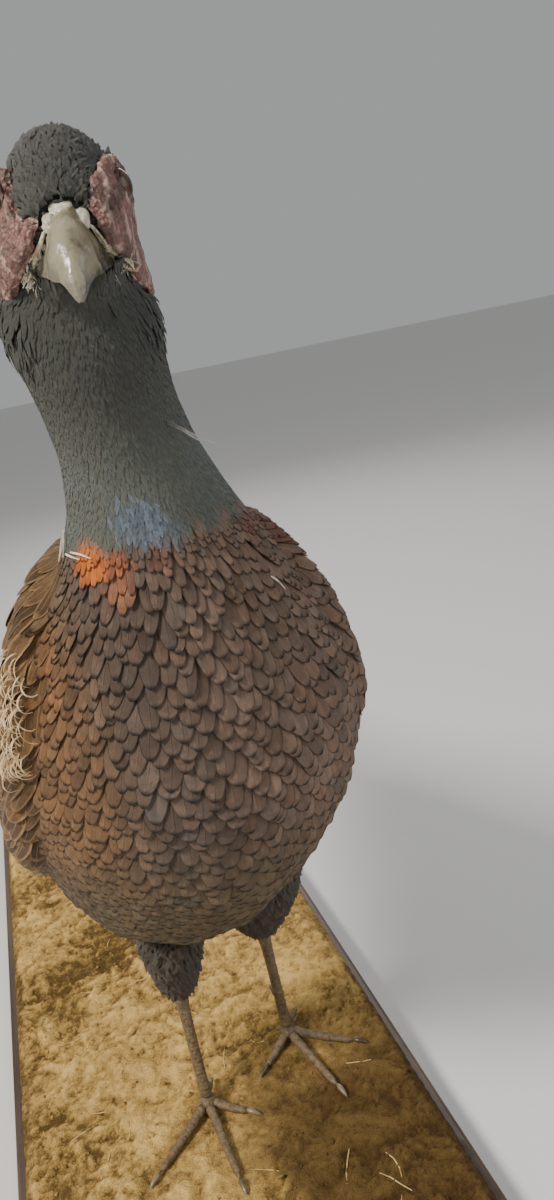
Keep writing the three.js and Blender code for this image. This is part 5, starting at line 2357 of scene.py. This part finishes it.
@dataclass
class Stand:
    """The board and the sandy groundwork the bird stands on."""

    columns: int = 178
    rows: int = 500
    surface: float = 25.6
    grit: int = 1500
    straws: int = 90
    toes: KDTree = field(init=False)
    low: Vector = field(init=False)
    high: Vector = field(init=False)

    def build(self) -> None:
        """Dresses the board and makes the earth, its grit and straw."""
        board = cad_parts["base_board"]
        wood = WoodFinish("waxed_board", tone(92, 74, 58), tone(58, 45, 35)).material()
        board.data.materials.clear()
        board.data.materials.append(wood)
        earth = EarthFinish("sandy_earth", tone(232, 192, 116), tone(180, 145, 84),
                            tone(94, 73, 40)).material()
        self.toes = self._toe_map()
        self.low, self.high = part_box("groundwork")
        self._ground(earth)
        dice = np.random.default_rng(9)
        self._grit(dice, earth)
        self._straw(dice)

    @staticmethod
    def _toe_map() -> KDTree:
        """A map of the places where toes lie.

        Returns:
            The tree of the toes' and claws' corners.
        """
        points = np.vstack([node_points(f"{part}_{toe}_{side}") for part in ("toe", "claw") for side in SIDES
                            for toe in TOES])
        tree = KDTree(len(points))
        for k, point in enumerate(points):
            tree.insert(Vector((point[0], point[1], 0)), k)
        tree.balance()
        return tree

    def _height(self, x: float, y: float) -> float:
        """The height of the earth's surface.

        Args:
            x: the place from side to side.
            y: the place along the board.

        Returns:
            The height in metres.
        """
        near = self.toes.find(Vector((x, y, 0)))[2]
        free = clamp((near - 2.5 * MM) / (13 * MM))
        free = free * free * (3 - 2 * free)
        place = Vector((x, y, 0))
        bend = Vector((noise.noise(place * 40), noise.noise(place * 40 + Vector((9, 2, 0))), 0)) * 0.012
        roll = noise.noise(place * 13) * 3.0
        lumps = sum(abs(noise.noise((place + bend) * scale)) * high
                    for scale, high in ((38, 4.0), (80, 3.0), (165, 2.4), (340, 1.7)))
        grain = noise.noise(place * 700) * 0.9
        return self.surface * MM + (free * (roll + lumps - 1.4) + grain * (0.3 + free)) * MM

    def _ground(self, finish: Material) -> None:
        """The sheet of earth, closed down to the board.

        Args:
            finish: its material.
        """
        low, high = self.low, self.high
        made = bmesh.new()
        bmesh.ops.create_grid(made, x_segments=self.columns, y_segments=self.rows, size=1)
        middle, half = (low + high) / 2, (high - low) / 2
        for vertex in made.verts:
            x, y = middle.x + vertex.co.x * half.x, middle.y + vertex.co.y * half.y
            edge = min(half.x - abs(x - middle.x), half.y - abs(y - middle.y)) / (7 * MM)
            fall = clamp(edge)
            top = min(self._height(x, y), high.z)
            ragged = 1.6 * MM * noise.noise(Vector((x, y, 0)) * 130) * (1 - fall)
            vertex.co = Vector((x - math.copysign(abs(ragged), x), y - math.copysign(abs(ragged), y),
                                low.z + 2 * MM + (top - low.z - 2 * MM) * fall**0.45))
        heights = np.array([v.co.z for v in made.verts])
        # How high each place stands; the earth's material uses it to paint light on crests and shade in
        # hollows.
        crest = smoothstep(-1.6, 3.0, (heights - 25.8 * MM) / MM)
        rim = [e for e in made.edges if e.is_boundary]
        skirt = bmesh.ops.extrude_edge_only(made, edges=rim)["geom"]
        for vertex in (g for g in skirt if isinstance(g, bmesh.types.BMVert)):
            vertex.co.z = low.z
        lower = [e for e in made.edges if e.is_boundary]
        bmesh.ops.holes_fill(made, edges=lower, sides=0)
        bmesh.ops.triangulate(made, faces=[f for f in made.faces if len(f.verts) > 4])
        bmesh.ops.recalc_face_normals(made, faces=made.faces)
        mesh = from_bmesh("earth", made)
        crests = np.concatenate([crest, np.zeros(len(mesh.vertices) - len(crest))])
        set_colours(mesh, "dye", np.repeat(crests[:, None], 3, axis=1))
        settle(link("earth", mesh, finish, sharp=70), "earth", "groundwork")

    def _spots(self, dice: np.random.Generator, count: int, margin: float,
               clear: float) -> Iterator[tuple[float, float]]:
        """Chance places on the earth that no toe touches.

        Args:
            dice: where the chance comes from.
            count: how many places are tried.
            margin: how far they stay from the edges, in metres.
            clear: how far they stay from the toes, in metres.

        Yields:
            The places' x and y.
        """
        for _ in range(count):
            x = dice.uniform(self.low.x + margin, self.high.x - margin)
            y = dice.uniform(self.low.y + margin, self.high.y - margin)
            if self.toes.find(Vector((x, y, 0)))[2] >= clear:
                yield x, y

    def _grit(self, dice: np.random.Generator, finish: Material) -> None:
        """Loose grit, half sunk in the earth.

        Args:
            dice: where the chance comes from.
            finish: the material.
        """
        made = bmesh.new()
        for x, y in self._spots(dice, self.grit, 0.008, 5 * MM):
            size = dice.gamma(2.0, 0.35) * MM + 0.3 * MM
            stone = bmesh.ops.create_icosphere(made, subdivisions=1, radius=min(size, 2.4 * MM))["verts"]
            squash = Matrix.Diagonal((dice.uniform(0.7, 1.3), dice.uniform(0.7, 1.3),
                                      dice.uniform(0.5, 0.9), 1))
            turn = Euler(dice.uniform(0, 3, 3)).to_matrix().to_4x4()
            top = min(self._height(x, y), self.high.z - 0.5 * MM)
            bmesh.ops.transform(made, matrix=Matrix.Translation((x, y, top)) @ turn @ squash, verts=stone)
        mesh = from_bmesh("grit", made)
        set_colours(mesh, "dye", np.full((len(mesh.vertices), 3), 0.55))
        settle(link("grit", mesh, finish, smooth=False), "earth")

    def _straw(self, dice: np.random.Generator) -> None:
        """A few dry straws on the earth.

        Args:
            dice: where the chance comes from.
        """
        made = bmesh.new()
        for x, y in self._spots(dice, self.straws, 0.02, 12 * MM):
            long, heading = dice.uniform(6, 22) * MM, dice.uniform(0, math.pi)
            way = Vector((math.cos(heading), math.sin(heading), 0))
            aside = Vector((-way.y, way.x, 0))
            points = []
            for t in (-0.5, -0.2, 0.15, 0.5):
                at = Vector((x, y, 0)) + way * long * t + aside * dice.normal(0, 0.6) * MM
                top = min(self._height(at.x, at.y), self.high.z) + 0.25 * MM
                points.append(Vector((at.x, at.y, top)))
            absorb(made, loft(along_path(points, [0.3 * MM, 0.42 * MM, 0.4 * MM, 0.25 * MM]), 5))
        straw = HornFinish("dry_straw", tone(206, 178, 120), tone(150, 118, 70), 200, 0.6, 0.0).material()
        settle(link("straw", from_bmesh("straw", made), straw), "earth")


# ---- studio


@dataclass
class Studio:
    """Floor, lights and the camera at its viewing angle."""

    eye: tuple[float, float, float] = (-13, -588, 436)
    heading: float = 14.72
    pitch: float = 19.5
    roll: float = 11.5
    lens: float = 25.5
    shift: float = 0.0383
    aim: tuple[float, float, float] = (0, -0.18, 0.28)
    lamps: tuple = (
        ("key", (-1.1, -0.75, 1.5), 42, 0.45, (1.0, 0.95, 0.86)),
        ("fill", (1.3, -1.2, 0.9), 9, 1.2, (0.92, 0.96, 1.0)),
        ("back", (0.5, 1.6, 1.6), 14, 1.0, (1.0, 0.98, 0.95)),
    )

    def build(self) -> None:
        """Makes the floor, the lights and the camera."""
        made = bmesh.new()
        bmesh.ops.create_grid(made, x_segments=1, y_segments=1, size=30)
        pale = FloorFinish("studio_floor", (0.72, 0.71, 0.69)).material()
        floor = link("floor", from_bmesh("floor", made), pale, smooth=False)
        floor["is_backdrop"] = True
        self._world()
        for lamp in self.lamps:
            self._lamp(*lamp)
        self._camera()

    def _world(self) -> None:
        """A soft pale surround."""
        world = bpy.data.worlds.new("studio")
        world.use_nodes = True
        background = world.node_tree.nodes["Background"]
        background.inputs["Color"].default_value = (0.86, 0.87, 0.88, 1)
        background.inputs["Strength"].default_value = 0.42
        bpy.context.scene.world = world

    def _lamp(self, name: str, at: tuple, power: float, size: float, colour: Colour) -> None:
        """One large soft lamp aimed at the bird.

        Args:
            name: the lamp's name.
            at: where it hangs.
            power: its strength in watts.
            size: its width.
            colour: its light.
        """
        light = bpy.data.lights.new(name, "AREA")
        light.energy, light.size, light.color = power, size, colour
        lamp = bpy.data.objects.new(name, light)
        bpy.context.scene.collection.objects.link(lamp)
        lamp.location = at
        aim = Vector(self.aim) - Vector(at)
        lamp.rotation_mode = "QUATERNION"
        lamp.rotation_quaternion = aim.to_track_quat("-Z", "Y")

    def _camera(self) -> None:
        """The camera, turned by heading, pitch and roll."""
        data = bpy.data.cameras.new("camera")
        data.lens, data.sensor_width, data.shift_y = self.lens, 36.0, self.shift
        data.clip_start = 0.01
        camera = bpy.data.objects.new("camera", data)
        bpy.context.scene.collection.objects.link(camera)
        heading, pitch, roll = (math.radians(a) for a in (self.heading, self.pitch, self.roll))
        ahead = Vector((math.sin(heading) * math.cos(pitch), math.cos(heading) * math.cos(pitch),
                        -math.sin(pitch)))
        level = Vector((math.cos(heading), -math.sin(heading), 0))
        upright = level.cross(ahead)
        right = level * math.cos(roll) - upright * math.sin(roll)
        up = right.cross(ahead)
        turned = Matrix((right, up, -ahead)).transposed().to_4x4()
        camera.matrix_world = Matrix.Translation(Vector(self.eye) * MM) @ turned
        bpy.context.scene.camera = camera


# each leg's knee, hock and foot, in millimetres ahead, left and up from the middle of the feet
LEG_PLACES = {
    "right": ((46, -24, 166), (1, -27, 78), (12, -29, 8)),
    "left": ((26, 26, 168), (-21, 31, 80), (-15, 31, 8)),
}


def main() -> None:
    """Builds the whole model in order."""
    logging.basicConfig(level=logging.INFO, format="%(message)s", stream=sys.stdout)
    cad_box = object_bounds()
    Studio().build()
    flesh = Flesh()
    flesh.build()
    head = Head()
    head.build()
    plumage = Plumage(flesh, head.matrix, head.bald)
    plumage.build()
    LooseFeathers(plumage.hull).build()
    shaggy = FeatherFinish("thigh_feathers", rim_amount=0.4, mottle=0.4, roughness=0.75).material()
    for side, (knee, hock, foot) in LEG_PLACES.items():
        Thigh(side, flesh, knee, hock).build(shaggy)
        Leg(side, hock, foot).build()
    LongFeathers().build()
    Stand().build()
    boxes = {"cad": cad_box, "visual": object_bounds()}
    {key: [list(corner) for corner in box] for key, box in boxes.items()}


if __name__ == "__main__":
    main()
